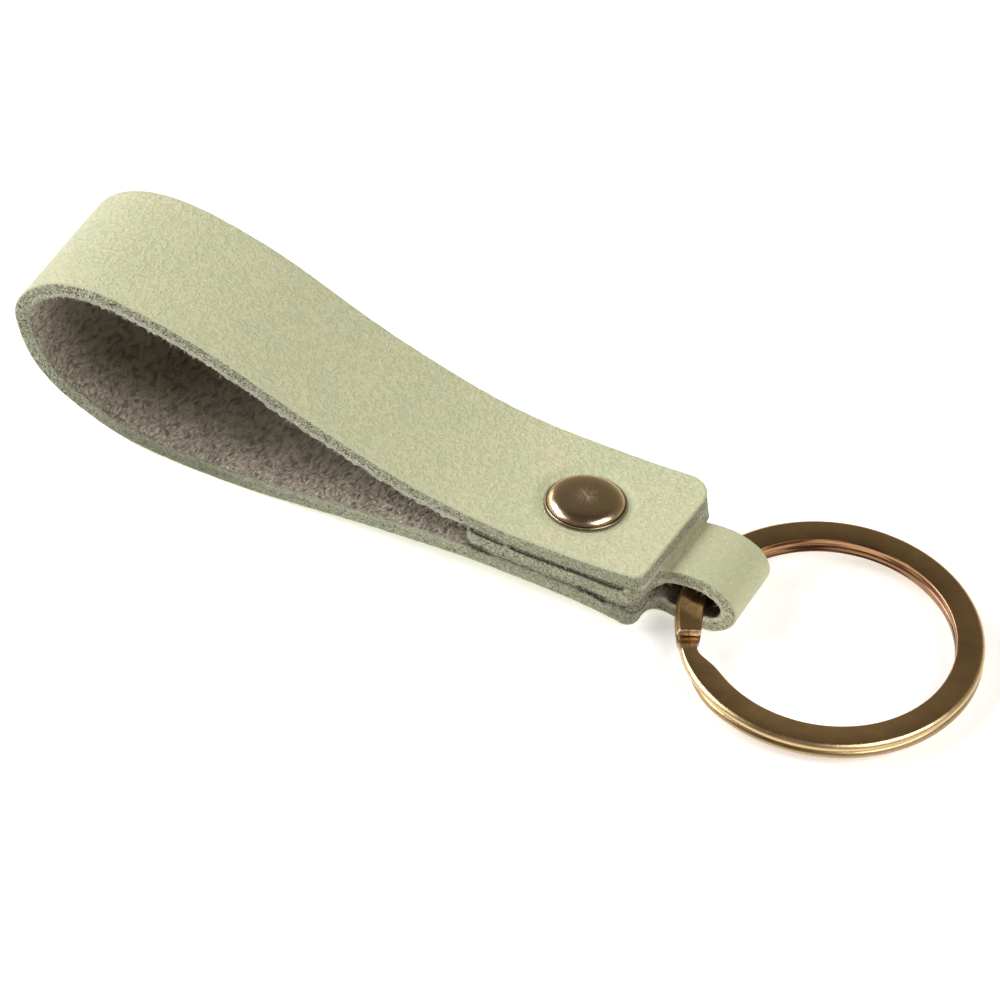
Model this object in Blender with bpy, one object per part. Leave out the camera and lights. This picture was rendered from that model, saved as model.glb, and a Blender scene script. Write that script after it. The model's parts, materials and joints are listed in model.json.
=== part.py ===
# Strap keychain: one faux leather strap folded into a hand loop and a small ring tab,
# clamped by a double-cap rivet, with a flat-wire split ring threaded through the tab.
# Metres, +Z up. +X runs along the strap towards the ring, +Y across it.
# While modelling, x = 0 is the middle of the riveted stack and z = 0 the table. The last step
# moves the whole part so that the middle of its base is the origin.

import math

import bmesh
import bpy
import numpy as np
from mathutils import Vector

# Strap, die cut from one sheet
STRAP_WIDTH = 0.0163
STRAP_THICKNESS = 0.0017
LAYER_GAP = 0.0003
TAB_WIDTH = 0.0080
NEAR_CORNER_RADIUS = 0.0010
FAR_CORNER_RADIUS = 0.0032
TAIL_CORNER_RADIUS = 0.0015
SHOULDER_RADIUS = 0.0013
CROTCH_RADIUS = 0.0016
SHOULDER_LEAN = 0.0001

# Strap, folded: reaches are measured from the middle of the stack
BIGHT_REACH = 0.0610
LOOP_HEIGHT = 0.0192
SEAT_HEIGHT = 0.0018
SEAT_DROP = 0.0003
TAIL_REACH = 0.0096
TAIL_LIFT = 0.00045
END_REACH = 0.01065
END_LIFT = 0.00054
END_SKEW = 0.0007
END_SKEW_RUN = 0.0090
NEAR_SHOULDER_REACH = 0.0080
FAR_SHOULDER_REACH = 0.0086
TAB_REACH = 0.01865
EYE_PLAY = 0.0014
STATION_STEP = 0.0020
STATION_TURN = math.radians(7)
CORNER_STEPS = 5

# Split ring: two turns of flat wire
RING_OUTER_RADIUS = 0.0155
WIRE_WIDTH = 0.0029
WIRE_THICKNESS = 0.00085
TURN_GAP = 0.0001
WIRE_EDGE_RADIUS = 0.00025
NOSE_PLAY = 0.00076
FLOOR_PLAY = 0.00053
RIM_LIFT = 0.0007
RING_OFFSET = 0.0013
RING_ROLL = math.radians(1.2)
SPLIT_ANGLE = math.radians(211.5)
STEP_ANGLE = math.radians(10)
END_GAP_ANGLE = math.radians(1)
WAIST_ANGLE = math.radians(221)
WAIST_RUN = math.radians(14)
WAIST_INSIDE = 0.0009
WAIST_OUTSIDE = 0.00025
RING_STEPS = 60
JOGGLE_STEPS = 6
EDGE_STEPS = 2

# Double-cap rivet: two domed caps, an eyelet and a tubular post
RIVET_LEAD = 0.00028
RIVET_OFFSET = 0.0005
CAP_RADIUS = 0.00425
CAP_HEIGHT = 0.00115
CAP_WALL = 0.00022
LIP_WIDTH = 0.0011
SEAT_DEPTH = 0.0003
FIT_GAP = 0.0001
FLANGE_WALL = 0.00016
FLANGE_RADIUS = 0.0034
POST_RADIUS = 0.0012
POST_WALL = 0.00025
EYELET_WALL = 0.00025
EYELET_DEPTH = 0.0022
UPSET_WIDTH = 0.0005
UPSET_HEIGHT = 0.0002
TURN_STEPS = 40
CUT_STEPS = 48
CUT_OVERRUN = 0.0010
SMOOTH_ANGLE = math.radians(33)

# Worked out from the sizes above
RING_THICKNESS = 2 * WIRE_THICKNESS + TURN_GAP
FOLD_HEIGHT = 2 * STRAP_THICKNESS + RING_THICKNESS + EYE_PLAY
MIDDLE_FACE = SEAT_HEIGHT + 2 * STRAP_THICKNESS + LAYER_GAP
TOP_FACE = SEAT_HEIGHT + 3 * STRAP_THICKNESS + 2 * LAYER_GAP
HOLE_RADIUS = POST_RADIUS + FIT_GAP + EYELET_WALL + FIT_GAP

# The tail lies between the outer layers and lifts towards its end:
# shares of TAIL_REACH along, and of TAIL_LIFT above the middle face
TAIL_SHARES = ((-1.00, 1.00), (-0.72, 0.45), (-0.42, 0.07), (0.00, 0.00), (0.42, 0.00))
# Round the ring: shares of TAB_REACH along, and of FOLD_HEIGHT above the table
TAB_SHARES = (
    (0.437, 0.849), (0.546, 0.918), (0.656, 0.982), (0.743, 1.000), (0.831, 0.970),
    (0.907, 0.884), (0.967, 0.733), (1.000, 0.529), (0.992, 0.332), (0.945, 0.151),
    (0.874, 0.033), (0.798, 0.000), (0.683, 0.016), (0.546, 0.072), (0.383, 0.165),
)
# Under the rivet: shares of CAP_RADIUS along, and of SEAT_DROP below the seat height
SEAT_SHARES = ((1.00, 1.00), (0.00, 0.00), (-1.00, -0.35))
# Lower run to where it lifts off: shares of BIGHT_REACH back, and of SEAT_HEIGHT up
LOWER_RUN_SHARES = (
    (0.152, 1.083), (0.244, 0.933), (0.337, 0.722), (0.430, 0.428),
    (0.524, 0.133), (0.619, 0.000), (0.714, 0.083),
)
# Bight of the loop: shares of BIGHT_REACH back, and of LOOP_HEIGHT up
BIGHT_SHARES = (
    (0.809, 0.052), (0.862, 0.117), (0.914, 0.203), (0.952, 0.303), (0.980, 0.435),
    (0.996, 0.575), (1.000, 0.660), (0.990, 0.767), (0.968, 0.859), (0.932, 0.940),
    (0.892, 0.984), (0.844, 1.000),
)
# Upper run down to the stack: shares of BIGHT_REACH back, and of the climb to the crown
UPPER_RUN_SHARES = (
    (0.760, 0.949), (0.666, 0.840), (0.573, 0.686), (0.480, 0.500),
    (0.387, 0.333), (0.293, 0.182), (0.201, 0.074), (0.128, 0.021),
)
# Top layer over the rivet and on to its end: shares of END_REACH along, and of END_LIFT up
END_SHARES = ((-0.41, 0.03), (0.00, 0.00), (0.41, 0.09), (0.70, 0.46), (1.00, 1.00))
# Stamped cap, outside, from its rolled edge to its crown: shares of CAP_RADIUS and CAP_HEIGHT
CAP_DOME_SHARES = (
    (0.930, 0.000), (0.982, 0.065), (1.000, 0.210), (0.985, 0.400), (0.930, 0.600),
    (0.830, 0.775), (0.680, 0.905), (0.430, 0.990), (0.380, 1.000),
)


def clear_scene():
    for item in list(bpy.data.objects):
        bpy.data.objects.remove(item, do_unlink=True)


def make_material(name, color, roughness, metallic):
    material = bpy.data.materials.new(name)
    material.use_nodes = True
    shader = material.node_tree.nodes["Principled BSDF"]
    shader.inputs["Base Color"].default_value = (*color, 1.0)
    shader.inputs["Roughness"].default_value = roughness
    shader.inputs["Metallic"].default_value = metallic
    return material


def add_object(name, vertices, faces, material, smooth_angle=None):
    mesh = bpy.data.meshes.new(name)
    mesh.from_pydata([tuple(point) for point in vertices], [], faces)
    tidy = bmesh.new()
    tidy.from_mesh(mesh)
    bmesh.ops.recalc_face_normals(tidy, faces=tidy.faces)
    tidy.to_mesh(mesh)
    tidy.free()
    if smooth_angle is not None:
        mesh.shade_smooth()
        mesh.set_sharp_from_angle(angle=smooth_angle)
    item = bpy.data.objects.new(name, mesh)
    if material is not None:
        mesh.materials.append(material)
    bpy.context.scene.collection.objects.link(item)
    return item


def cut_with(item, cutter):
    cutter.hide_render = True
    cutter.display_type = "WIRE"
    boolean = item.modifiers.new("cut_" + cutter.name, "BOOLEAN")
    boolean.operation = "DIFFERENCE"
    boolean.solver = "EXACT"
    boolean.object = cutter


# Folded strap

def face_outline():
    """Points of the strap's face side, from the tail's end round the tab and the loop to the top end."""
    points = [(TAIL_REACH * x, MIDDLE_FACE + TAIL_LIFT * z) for x, z in TAIL_SHARES]
    points += [(TAB_REACH * x, FOLD_HEIGHT * z) for x, z in TAB_SHARES]
    points += [(CAP_RADIUS * x, SEAT_HEIGHT - SEAT_DROP * z) for x, z in SEAT_SHARES]
    points += [(BIGHT_REACH * -x, SEAT_HEIGHT * z) for x, z in LOWER_RUN_SHARES]
    points += [(BIGHT_REACH * -x, LOOP_HEIGHT * z) for x, z in BIGHT_SHARES]
    climb = LOOP_HEIGHT - TOP_FACE
    points += [(BIGHT_REACH * -x, TOP_FACE + climb * z) for x, z in UPPER_RUN_SHARES]
    points += [(END_REACH * x, TOP_FACE + END_LIFT * z) for x, z in END_SHARES]
    return np.array(points)


def spline_second_slopes(knots, values):
    """Second derivatives of the natural cubic spline through values at knots."""
    count = len(knots)
    gaps = np.diff(knots)
    system = np.eye(count)
    right = np.zeros_like(values)
    for row in range(1, count - 1):
        system[row, row - 1] = gaps[row - 1]
        system[row, row] = 2 * (gaps[row - 1] + gaps[row])
        system[row, row + 1] = gaps[row]
        ahead = (values[row + 1] - values[row]) / gaps[row]
        behind = (values[row] - values[row - 1]) / gaps[row - 1]
        right[row] = 6 * (ahead - behind)
    return np.linalg.solve(system, right)


def spline_at(knots, values, places):
    """The natural cubic spline's points and slopes at places."""
    seconds = spline_second_slopes(knots, values)
    left = np.clip(np.searchsorted(knots, places) - 1, 0, len(knots) - 2)
    gap = (knots[left + 1] - knots[left])[:, None]
    before = (knots[left + 1] - places)[:, None]
    after = (places - knots[left])[:, None]
    low, high = seconds[left], seconds[left + 1]
    low_end = values[left] / gap - low * gap / 6
    high_end = values[left + 1] / gap - high * gap / 6
    points = (low * before**3 + high * after**3) / (6 * gap) + low_end * before + high_end * after
    slopes = (high * after**2 - low * before**2) / (2 * gap) - low_end + high_end
    return points, slopes


def face_curve(places_per_point=24):
    """Fine points and unit tangents along the face side, with their distance along it."""
    outline = face_outline()
    chords = np.linalg.norm(np.diff(outline, axis=0), axis=1)
    knots = np.concatenate(([0.0], np.cumsum(chords)))
    places = np.linspace(0.0, knots[-1], places_per_point * len(outline))
    points, slopes = spline_at(knots, outline, places)
    tangents = slopes / np.linalg.norm(slopes, axis=1)[:, None]
    steps = np.linalg.norm(np.diff(points, axis=0), axis=1)
    return points, tangents, np.concatenate(([0.0], np.cumsum(steps)))


def corner_inset(distance, radius):
    """How far a rounded outer corner stands in from the side, at a distance from the end."""
    inside = np.clip(radius - distance, 0.0, radius)
    return radius - np.sqrt(radius**2 - inside**2)


def shoulder_inset(distance):
    """How far the edge stands in where the strap narrows to the tab, from the shoulder's start."""
    depth = (STRAP_WIDTH - TAB_WIDTH) / 2
    outer = np.clip(distance, 0.0, SHOULDER_RADIUS)
    rounding = SHOULDER_RADIUS - np.sqrt(SHOULDER_RADIUS**2 - outer**2)
    past = distance - SHOULDER_RADIUS - SHOULDER_LEAN
    inner = np.clip(CROTCH_RADIUS - past, 0.0, CROTCH_RADIUS)
    filling = depth - CROTCH_RADIUS + np.sqrt(CROTCH_RADIUS**2 - inner**2)
    return np.where(past < -SHOULDER_LEAN / 2, rounding, filling)


def shoulder_places(points, along, reach):
    """Distances along the strap where one edge's shoulders start, before and after the tab."""
    nose = np.argmax(points[:, 0])
    before = np.interp(reach, points[:nose, 0], along[:nose])
    after_tab = slice(nose, nose + np.argmax(points[nose:, 0] < 0.0) + 1)
    after = np.interp(-reach, -points[after_tab, 0], along[after_tab])
    return before, after


def station_places(points, tangents, along):
    """Where the strap gets a cross-section: close together where it bends or its edge turns."""
    bend = np.unwrap(np.arctan2(tangents[:, 1], tangents[:, 0]))
    effort = np.concatenate(([0.0], np.cumsum(np.abs(np.diff(bend)) / STATION_TURN)))
    effort += along / STATION_STEP
    even = np.linspace(0.0, effort[-1], int(math.ceil(effort[-1])) + 1)
    places = list(np.interp(even, effort, along))
    arc = 1 - np.cos(np.linspace(0.0, math.pi / 2, CORNER_STEPS + 1))
    swing = np.sin(np.linspace(0.0, math.pi / 2, CORNER_STEPS + 1))
    crotch = SHOULDER_RADIUS + SHOULDER_LEAN
    own = list(SHOULDER_RADIUS * swing) + list(crotch + CROTCH_RADIUS * arc)
    extra = list(TAIL_CORNER_RADIUS * arc)
    for reach in (NEAR_SHOULDER_REACH, FAR_SHOULDER_REACH):
        before, after = shoulder_places(points, along, reach)
        extra += [before + place for place in own] + [after - place for place in own]
    for radius in (NEAR_CORNER_RADIUS, FAR_CORNER_RADIUS):
        extra += list(along[-1] - radius * arc)
    spacing = SHOULDER_LEAN / 2
    kept = [place for place in places if min(abs(place - other) for other in extra) > 3 * spacing]
    merged = []
    for place in sorted(kept + extra):
        if not merged or place - merged[-1] > spacing:
            merged.append(place)
    return np.array(merged)


def edge_inset(places, points, along, reach, end_radius):
    """How far one edge stands in at each place along the strap."""
    before, after = shoulder_places(points, along, reach)
    shoulder = shoulder_inset(np.minimum(places - before, after - places))
    tab = np.where((places > before) & (places < after), shoulder, 0.0)
    tail = corner_inset(places, TAIL_CORNER_RADIUS)
    return tab + tail + corner_inset(along[-1] - places, end_radius)


def edge_line(places, points, tangents, along):
    """Points of one edge on the face side and on the back, at places along the strap."""
    face = np.column_stack([np.interp(places, along, points[:, axis]) for axis in (0, 1)])
    slope = np.column_stack([np.interp(places, along, tangents[:, axis]) for axis in (0, 1)])
    slope /= np.linalg.norm(slope, axis=1)[:, None]
    return face, face + STRAP_THICKNESS * np.column_stack((slope[:, 1], -slope[:, 0]))


def strap_sections():
    """The four corners of every cross-section: face near, face far, back far, back near.

    The top end is cut at a slant, so there the near edge lags behind the far one.
    """
    points, tangents, along = face_curve()
    places = station_places(points, tangents, along)
    near = -STRAP_WIDTH / 2 + edge_inset(places, points, along, NEAR_SHOULDER_REACH, NEAR_CORNER_RADIUS)
    far = STRAP_WIDTH / 2 - edge_inset(places, points, along, FAR_SHOULDER_REACH, FAR_CORNER_RADIUS)
    lag = END_SKEW * np.clip(1 - (along[-1] - places) / END_SKEW_RUN, 0.0, 1.0)
    near_face, near_back = edge_line(places - lag, points, tangents, along)
    far_face, far_back = edge_line(places, points, tangents, along)
    corners = [(near_face, near), (far_face, far), (far_back, far), (near_back, near)]
    return np.stack([np.column_stack((line[:, 0], side, line[:, 1])) for line, side in corners], axis=1)


def tube_faces(sections, corners):
    """Quads that join each cross-section to the next, and a cap on each end."""
    faces = [list(range(corners))[::-1]]
    for index in range(sections - 1):
        for corner in range(corners):
            after = (corner + 1) % corners
            base = index * corners
            faces.append([base + corner, base + after, base + corners + after, base + corners + corner])
    faces.append([(sections - 1) * corners + corner for corner in range(corners)])
    return faces


def make_strap(material):
    sections = strap_sections()
    faces = tube_faces(len(sections), sections.shape[1])
    strap = add_object("strap", sections.reshape(-1, 3), faces, material)
    seat_radius = CAP_RADIUS + FIT_GAP
    hole = make_cutter("rivet_hole", HOLE_RADIUS, -CUT_OVERRUN, TOP_FACE + CUT_OVERRUN)
    front_seat = make_cutter("front_seat", seat_radius, TOP_FACE - SEAT_DEPTH, TOP_FACE + CUT_OVERRUN)
    back_seat = make_cutter("back_seat", seat_radius, -CUT_OVERRUN, SEAT_HEIGHT + SEAT_DEPTH)
    for cutter in (hole, front_seat, back_seat):
        cut_with(strap, cutter)
    return strap


def make_cutter(name, radius, bottom, top):
    """A round punch on the rivet's axis."""
    outline = [(0.0, bottom), (radius, bottom), (radius, top), (0.0, top)]
    return turn_outline(name, outline, None, CUT_STEPS)


# Rivet

def turn_outline(name, outline, material, steps=TURN_STEPS):
    """Turns a closed outline of (radius, height) about the rivet's axis."""
    vertices, rings = [], []
    for radius, height in outline:
        if radius == 0.0:
            rings.append([len(vertices)])
            vertices.append((RIVET_LEAD, -RIVET_OFFSET, height))
            continue
        rings.append(list(range(len(vertices), len(vertices) + steps)))
        for step in range(steps):
            angle = 2 * math.pi * step / steps
            ahead = radius * math.cos(angle) + RIVET_LEAD
            side = radius * math.sin(angle) - RIVET_OFFSET
            vertices.append((ahead, side, height))
    faces = []
    for ring, after in zip(rings, rings[1:] + rings[:1]):
        for step in range(steps):
            quad = [ring[step % len(ring)], ring[(step + 1) % len(ring)]]
            quad += [after[(step + 1) % len(after)], after[step % len(after)]]
            corners = list(dict.fromkeys(quad))
            if len(corners) > 2:
                faces.append(corners)
    return add_object(name, vertices, faces, material, SMOOTH_ANGLE)


def cap_outline(rim, outward):
    """Section of a stamped cap: dome outside, even wall inside, edge rolled in to a flat lip."""
    dome = [(CAP_RADIUS * r, CAP_HEIGHT * h) for r, h in CAP_DOME_SHARES]
    inside_height = CAP_HEIGHT - 2 * CAP_WALL
    inside = [((CAP_RADIUS - CAP_WALL) * r, CAP_WALL + inside_height * h) for r, h in CAP_DOME_SHARES]
    lip_radius = CAP_RADIUS - LIP_WIDTH
    lip = [(lip_radius, CAP_WALL), (lip_radius, 0.0)]
    outline = lip + dome + [(0.0, CAP_HEIGHT), (0.0, CAP_HEIGHT - CAP_WALL)] + inside[::-1]
    return [(radius, rim + outward * height) for radius, height in outline]


def make_rivet(plating, shank):
    front_rim = TOP_FACE - SEAT_DEPTH + FIT_GAP
    back_rim = SEAT_HEIGHT + SEAT_DEPTH - FIT_GAP
    front_cap = turn_outline("front_cap", cap_outline(front_rim, 1), plating)
    back_cap = turn_outline("back_cap", cap_outline(back_rim, -1), plating)
    bore = POST_RADIUS + FIT_GAP
    sleeve = bore + EYELET_WALL
    flange_low = front_rim + CAP_WALL + FIT_GAP
    collar = flange_low + FLANGE_WALL
    eyelet = [
        (bore, flange_low - EYELET_DEPTH), (sleeve, flange_low - EYELET_DEPTH),
        (sleeve, flange_low), (FLANGE_RADIUS, flange_low), (FLANGE_RADIUS, collar), (bore, collar),
    ]
    front_eyelet = turn_outline("front_eyelet", eyelet, shank)
    head_low = collar + FIT_GAP
    head_top = head_low + UPSET_HEIGHT
    head_radius = POST_RADIUS + UPSET_WIDTH
    flange_top = back_rim - CAP_WALL - FIT_GAP
    flange_base = flange_top - FLANGE_WALL
    bore_radius = POST_RADIUS - POST_WALL
    post = [
        (0.0, head_top), (head_radius, head_top), (head_radius, head_low), (POST_RADIUS, head_low),
        (POST_RADIUS, flange_top), (FLANGE_RADIUS, flange_top), (FLANGE_RADIUS, flange_base),
        (bore_radius, flange_base), (bore_radius, head_top - POST_WALL), (0.0, head_top - POST_WALL),
    ]
    rivet_post = turn_outline("rivet_post", post, shank)
    return [front_cap, front_eyelet, rivet_post, back_cap]


# Split ring

def wire_section():
    """Half round corners on a flat wire: (outward, upward) from its middle."""
    half_width = WIRE_WIDTH / 2 - WIRE_EDGE_RADIUS
    half_height = WIRE_THICKNESS / 2 - WIRE_EDGE_RADIUS
    corners = ((1, 1), (-1, 1), (-1, -1), (1, -1))
    section = []
    for index, (outward, upward) in enumerate(corners):
        for step in range(EDGE_STEPS + 1):
            angle = math.pi / 2 * (index + step / EDGE_STEPS)
            across = outward * half_width + WIRE_EDGE_RADIUS * math.cos(angle)
            section.append((across, upward * half_height + WIRE_EDGE_RADIUS * math.sin(angle)))
    return section


def wire_angles():
    """Angles along the wire: a lower turn, the joggle that lifts it, and an upper turn."""
    start = SPLIT_ANGLE + STEP_ANGLE + END_GAP_ANGLE
    climb = SPLIT_ANGLE + 2 * math.pi
    landing = climb + STEP_ANGLE
    finish = SPLIT_ANGLE + 4 * math.pi - END_GAP_ANGLE
    lower = np.linspace(start, climb, RING_STEPS)
    joggle = np.linspace(climb, landing, JOGGLE_STEPS + 1)
    upper = np.linspace(landing, finish, RING_STEPS)
    return np.concatenate((lower, joggle[1:], upper[1:])), climb


def waist_inset(angle, across):
    """The wire narrows beside the split: how far out its inner edge moves, and in its outer one."""
    beyond = abs((angle - WAIST_ANGLE + math.pi) % (2 * math.pi) - math.pi)
    share = min(beyond / WAIST_RUN, 1.0)
    depth = 1 - share * share * (3 - 2 * share)
    side = across / WIRE_WIDTH
    return depth * (WAIST_INSIDE * (1 / 2 - side) - WAIST_OUTSIDE * (1 / 2 + side))


def make_ring(material):
    """Two turns of flat wire; the smooth step between them fills the gap between the cut ends."""
    section = wire_section()
    angles, climb = wire_angles()
    middle_radius = RING_OUTER_RADIUS - WIRE_WIDTH / 2
    pitch = WIRE_THICKNESS + TURN_GAP
    vertices = []
    for angle in angles:
        share = min(max((angle - climb) / STEP_ANGLE, 0.0), 1.0)
        height = pitch * (share * share * (3 - 2 * share) - 1 / 2)
        for across, up in section:
            radius = middle_radius + across + waist_inset(angle, across)
            vertices.append((radius * math.cos(angle), radius * math.sin(angle), height + up))
    faces = tube_faces(len(angles), len(section))
    ring = add_object("split_ring", vertices, faces, material, SMOOTH_ANGLE)
    ring.location, ring.rotation_euler = ring_place()
    return ring


def ring_height(lean):
    """Height of the ring's centre with its far rim RIM_LIFT over the table, for a lean from level."""
    reach = RING_OUTER_RADIUS - WIRE_EDGE_RADIUS
    rise = RING_THICKNESS / 2 - WIRE_EDGE_RADIUS
    return RIM_LIFT + reach * math.sin(lean) + rise * math.cos(lean) + WIRE_EDGE_RADIUS


def ring_place():
    """The stiff tab holds the ring by its wire in the eye, with its far rim just off the table.

    The pitch is found by halving, so that the wire stands FLOOR_PLAY over the eye's floor.
    """
    inner_radius = RING_OUTER_RADIUS - WIRE_WIDTH
    tab_edge = TAB_WIDTH / 2 + RING_OFFSET
    chord = math.sqrt(inner_radius**2 - tab_edge**2)
    centre_x = TAB_REACH - STRAP_THICKNESS - NOSE_PLAY + chord
    wire_distance = (RING_OUTER_RADIUS + chord) / 2
    wire_height = STRAP_THICKNESS + FLOOR_PLAY + RING_THICKNESS / 2
    low, high = 0.0, math.pi / 4
    while high - low > math.radians(1) / 1000:
        pitch = (low + high) / 2
        lean = math.acos(math.cos(pitch) * math.cos(RING_ROLL))
        if ring_height(lean) + wire_distance * math.tan(pitch) > wire_height:
            high = pitch
        else:
            low = pitch
    return Vector((centre_x, -RING_OFFSET, ring_height(lean))), (RING_ROLL, pitch, 0.0)


def world_box(items):
    """Lowest and highest corner of the finished shapes."""
    bpy.context.view_layer.update()
    graph = bpy.context.evaluated_depsgraph_get()
    corners = []
    for item in items:
        shape = item.evaluated_get(graph)
        corners += [shape.matrix_world @ Vector(vertex.co) for vertex in shape.data.vertices]
    corners = np.array(corners)
    return corners.min(axis=0), corners.max(axis=0)


def stand_on_origin(items):
    """Moves everything so that the middle of the part's base is the origin."""
    low, high = world_box(items)
    move = Vector((-(low[0] + high[0]) / 2, -(low[1] + high[1]) / 2, -low[2]))
    for item in list(bpy.context.scene.collection.objects):
        item.location += move
    bpy.context.view_layer.update()
    return move


def report(items, move):
    low, high = world_box(items)
    axis = items[-1].matrix_world.to_3x3() @ Vector((0.0, 0.0, 1.0))
    crown = TOP_FACE - SEAT_DEPTH + FIT_GAP + CAP_HEIGHT
    print("box", [round(float(value), 6) for value in (*low, *high)])
    print("moved by", [round(value, 7) for value in move])
    print("ring centre", [round(value, 7) for value in items[-1].location])
    print("ring axis", [round(value, 7) for value in axis])
    print("cap crown", [round(value, 7) for value in Vector((RIVET_LEAD, -RIVET_OFFSET, crown)) + move])


def main():
    clear_scene()
    leather = make_material("sage_leather", (0.60, 0.62, 0.42), 0.62, 0.0)
    plating = make_material("pale_gold_plating", (0.72, 0.52, 0.34), 0.22, 1.0)
    shank = make_material("plated_steel", (0.70, 0.62, 0.50), 0.35, 1.0)
    gold_wire = make_material("rose_gold_wire", (0.78, 0.50, 0.33), 0.20, 1.0)
    items = [make_strap(leather)] + make_rivet(plating, shank) + [make_ring(gold_wire)]
    report(items, stand_on_origin(items))


main()
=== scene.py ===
# Faux leather keychain: its looks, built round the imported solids.
# Lengths are metres, written as so many millimetres times mm. Angles are degrees where named so.

import functools
import json
import math

import bmesh
import bpy
import numpy as np
from mathutils import Matrix, Vector


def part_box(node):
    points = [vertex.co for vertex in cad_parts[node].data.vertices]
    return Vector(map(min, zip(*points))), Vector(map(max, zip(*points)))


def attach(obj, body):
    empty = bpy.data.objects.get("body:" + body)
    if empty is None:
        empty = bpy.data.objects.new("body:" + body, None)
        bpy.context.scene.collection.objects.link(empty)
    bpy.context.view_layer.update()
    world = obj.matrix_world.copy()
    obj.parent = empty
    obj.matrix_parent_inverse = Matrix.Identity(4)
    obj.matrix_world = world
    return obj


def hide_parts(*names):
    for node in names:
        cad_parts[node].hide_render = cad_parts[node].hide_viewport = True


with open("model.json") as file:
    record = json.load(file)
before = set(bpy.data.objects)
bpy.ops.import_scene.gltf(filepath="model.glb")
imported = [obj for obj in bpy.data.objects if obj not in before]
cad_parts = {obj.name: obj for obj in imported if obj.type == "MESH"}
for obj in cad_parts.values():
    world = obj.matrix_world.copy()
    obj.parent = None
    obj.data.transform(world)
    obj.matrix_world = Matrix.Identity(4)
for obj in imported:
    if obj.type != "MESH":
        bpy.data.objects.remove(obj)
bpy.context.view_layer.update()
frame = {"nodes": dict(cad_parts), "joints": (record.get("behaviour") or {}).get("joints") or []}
mm = 0.001

# Places taken from the frame
strapLow, strapHigh = (np.array(corner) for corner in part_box("strap"))
capLow, capHigh = (np.array(corner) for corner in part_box("front_cap"))
backCapHigh = np.array(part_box("back_cap")[1])
rivetX, rivetY = (capLow[:2] + capHigh[:2]) / 2
stackX = rivetX - 0.28 * mm  # the rivet was set a little off the stack's middle
capX, capY = rivetX - 0.20 * mm, rivetY + 0.22 * mm  # and its caps a little off its shank
strapMiddle = (strapLow[1] + strapHigh[1]) / 2
ringJoint = frame["joints"][0]
print("frame loaded:", ", ".join(sorted(frame["nodes"])))


# Tools for colours and nodes

eased = {"interpolation_type": "SMOOTHSTEP"}
rgba = {"data_type": "RGBA"}
times, timesPlus, minus = ({"operation": name} for name in ("MULTIPLY", "MULTIPLY_ADD", "SUBTRACT"))
clampedTimes = {**times, "use_clamp": True}
# The order in which addNode takes a tuple of inputs; other kinds take the node's own order,
# which for a MapRange is the value, the range it comes from and the range it goes to
inputOrders = {
    "TexNoise": ("Vector", "Scale", "Detail", "Roughness", "Distortion"),
    "Bump": ("Height", "Strength", "Distance", "Normal"),
    "Mix": (0, 6, 7),  # the share, and the two colours
    "HueSaturation": ("Value", "Color"),
}


def linearColour(hexText):
    # sRGB to linear: (c + 0.055) / 1.055 to the power 2.4 above the toe, c / 12.92 below it
    parts = [int(hexText[i:i + 2], 16) / 255 for i in (1, 3, 5)]
    return [c / 12.92 if c <= 0.04045 else ((c + 0.055) / 1.055) ** 2.4 for c in parts] + [1.0]


def setInputs(node, inputs):
    # Links or values for inputs by name or number. A node as a value stands for its first live output.
    for name, value in inputs.items():
        if isinstance(value, bpy.types.Node):
            value = next(socket for socket in value.outputs if socket.enabled)
        if isinstance(value, bpy.types.NodeSocket):
            node.id_data.links.new(value, node.inputs[name])
        else:
            node.inputs[name].default_value = linearColour(value) if isinstance(value, str) else value


def addNode(tree, kind, inputs=(), **settings):
    # One node with its settings and inputs
    node = tree.nodes.new("ShaderNode" + kind)
    for name, value in settings.items():
        setattr(node, name, value)
    if isinstance(inputs, tuple):
        inputs = dict(zip(inputOrders.get(kind, range(len(inputs))), inputs))
    setInputs(node, inputs)
    return node


def openMaterial(material):
    # What adds nodes to a material, and its shader
    tree = material.node_tree
    return functools.partial(addNode, tree), tree.nodes["Principled BSDF"]


def startMaterial(name, sockets):
    # A Principled material with plain values on its own sockets
    material = bpy.data.materials.new(name)
    material.use_nodes = True
    add, shader = openMaterial(material)
    setInputs(shader, sockets)
    return material, add, shader


def objectMm(add):
    # Object coordinates in millimetres
    return add("VectorMath", {0: add("TexCoord").outputs["Object"], "Scale": 1000.0}, operation="SCALE")


def layerParts(add, layer):
    # The parts X and Y of a UV layer
    return add("SeparateXYZ", (add("UVMap", uv_map=layer),)).outputs


def capPlace(add):
    # The level way from the caps' axis in millimetres, and its length
    offset = add("VectorMath", (objectMm(add), (capX / mm, capY / mm, 0.0)), **minus)
    level = add("VectorMath", (offset, (1.0, 1.0, 0.0)), **times)
    return level, add("VectorMath", (level,), operation="LENGTH")


# Tools for numbers and meshes

def smoothStep(value):
    # 3t^2 - 2t^3 between 0 and 1
    share = np.clip(value, 0.0, 1.0)
    return share * share * (3 - 2 * share)


def arcDrop(run, radius):
    # How far a circle drops over a run along its tangent: radius less the root of radius^2 - run^2
    run = np.clip(run, 0.0, radius)
    return radius - np.sqrt(radius**2 - run**2)


def fromTable(table, where, column=1):
    # A table's value at a place, straight between its rows; column 0 holds the places
    columns = np.array(table).T
    return np.interp(where, columns[0], columns[column])


def toPoints(*parts):
    # Arrays of matching shapes, stacked along a new last axis
    return np.stack(np.broadcast_arrays(*parts), axis=-1)


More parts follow.
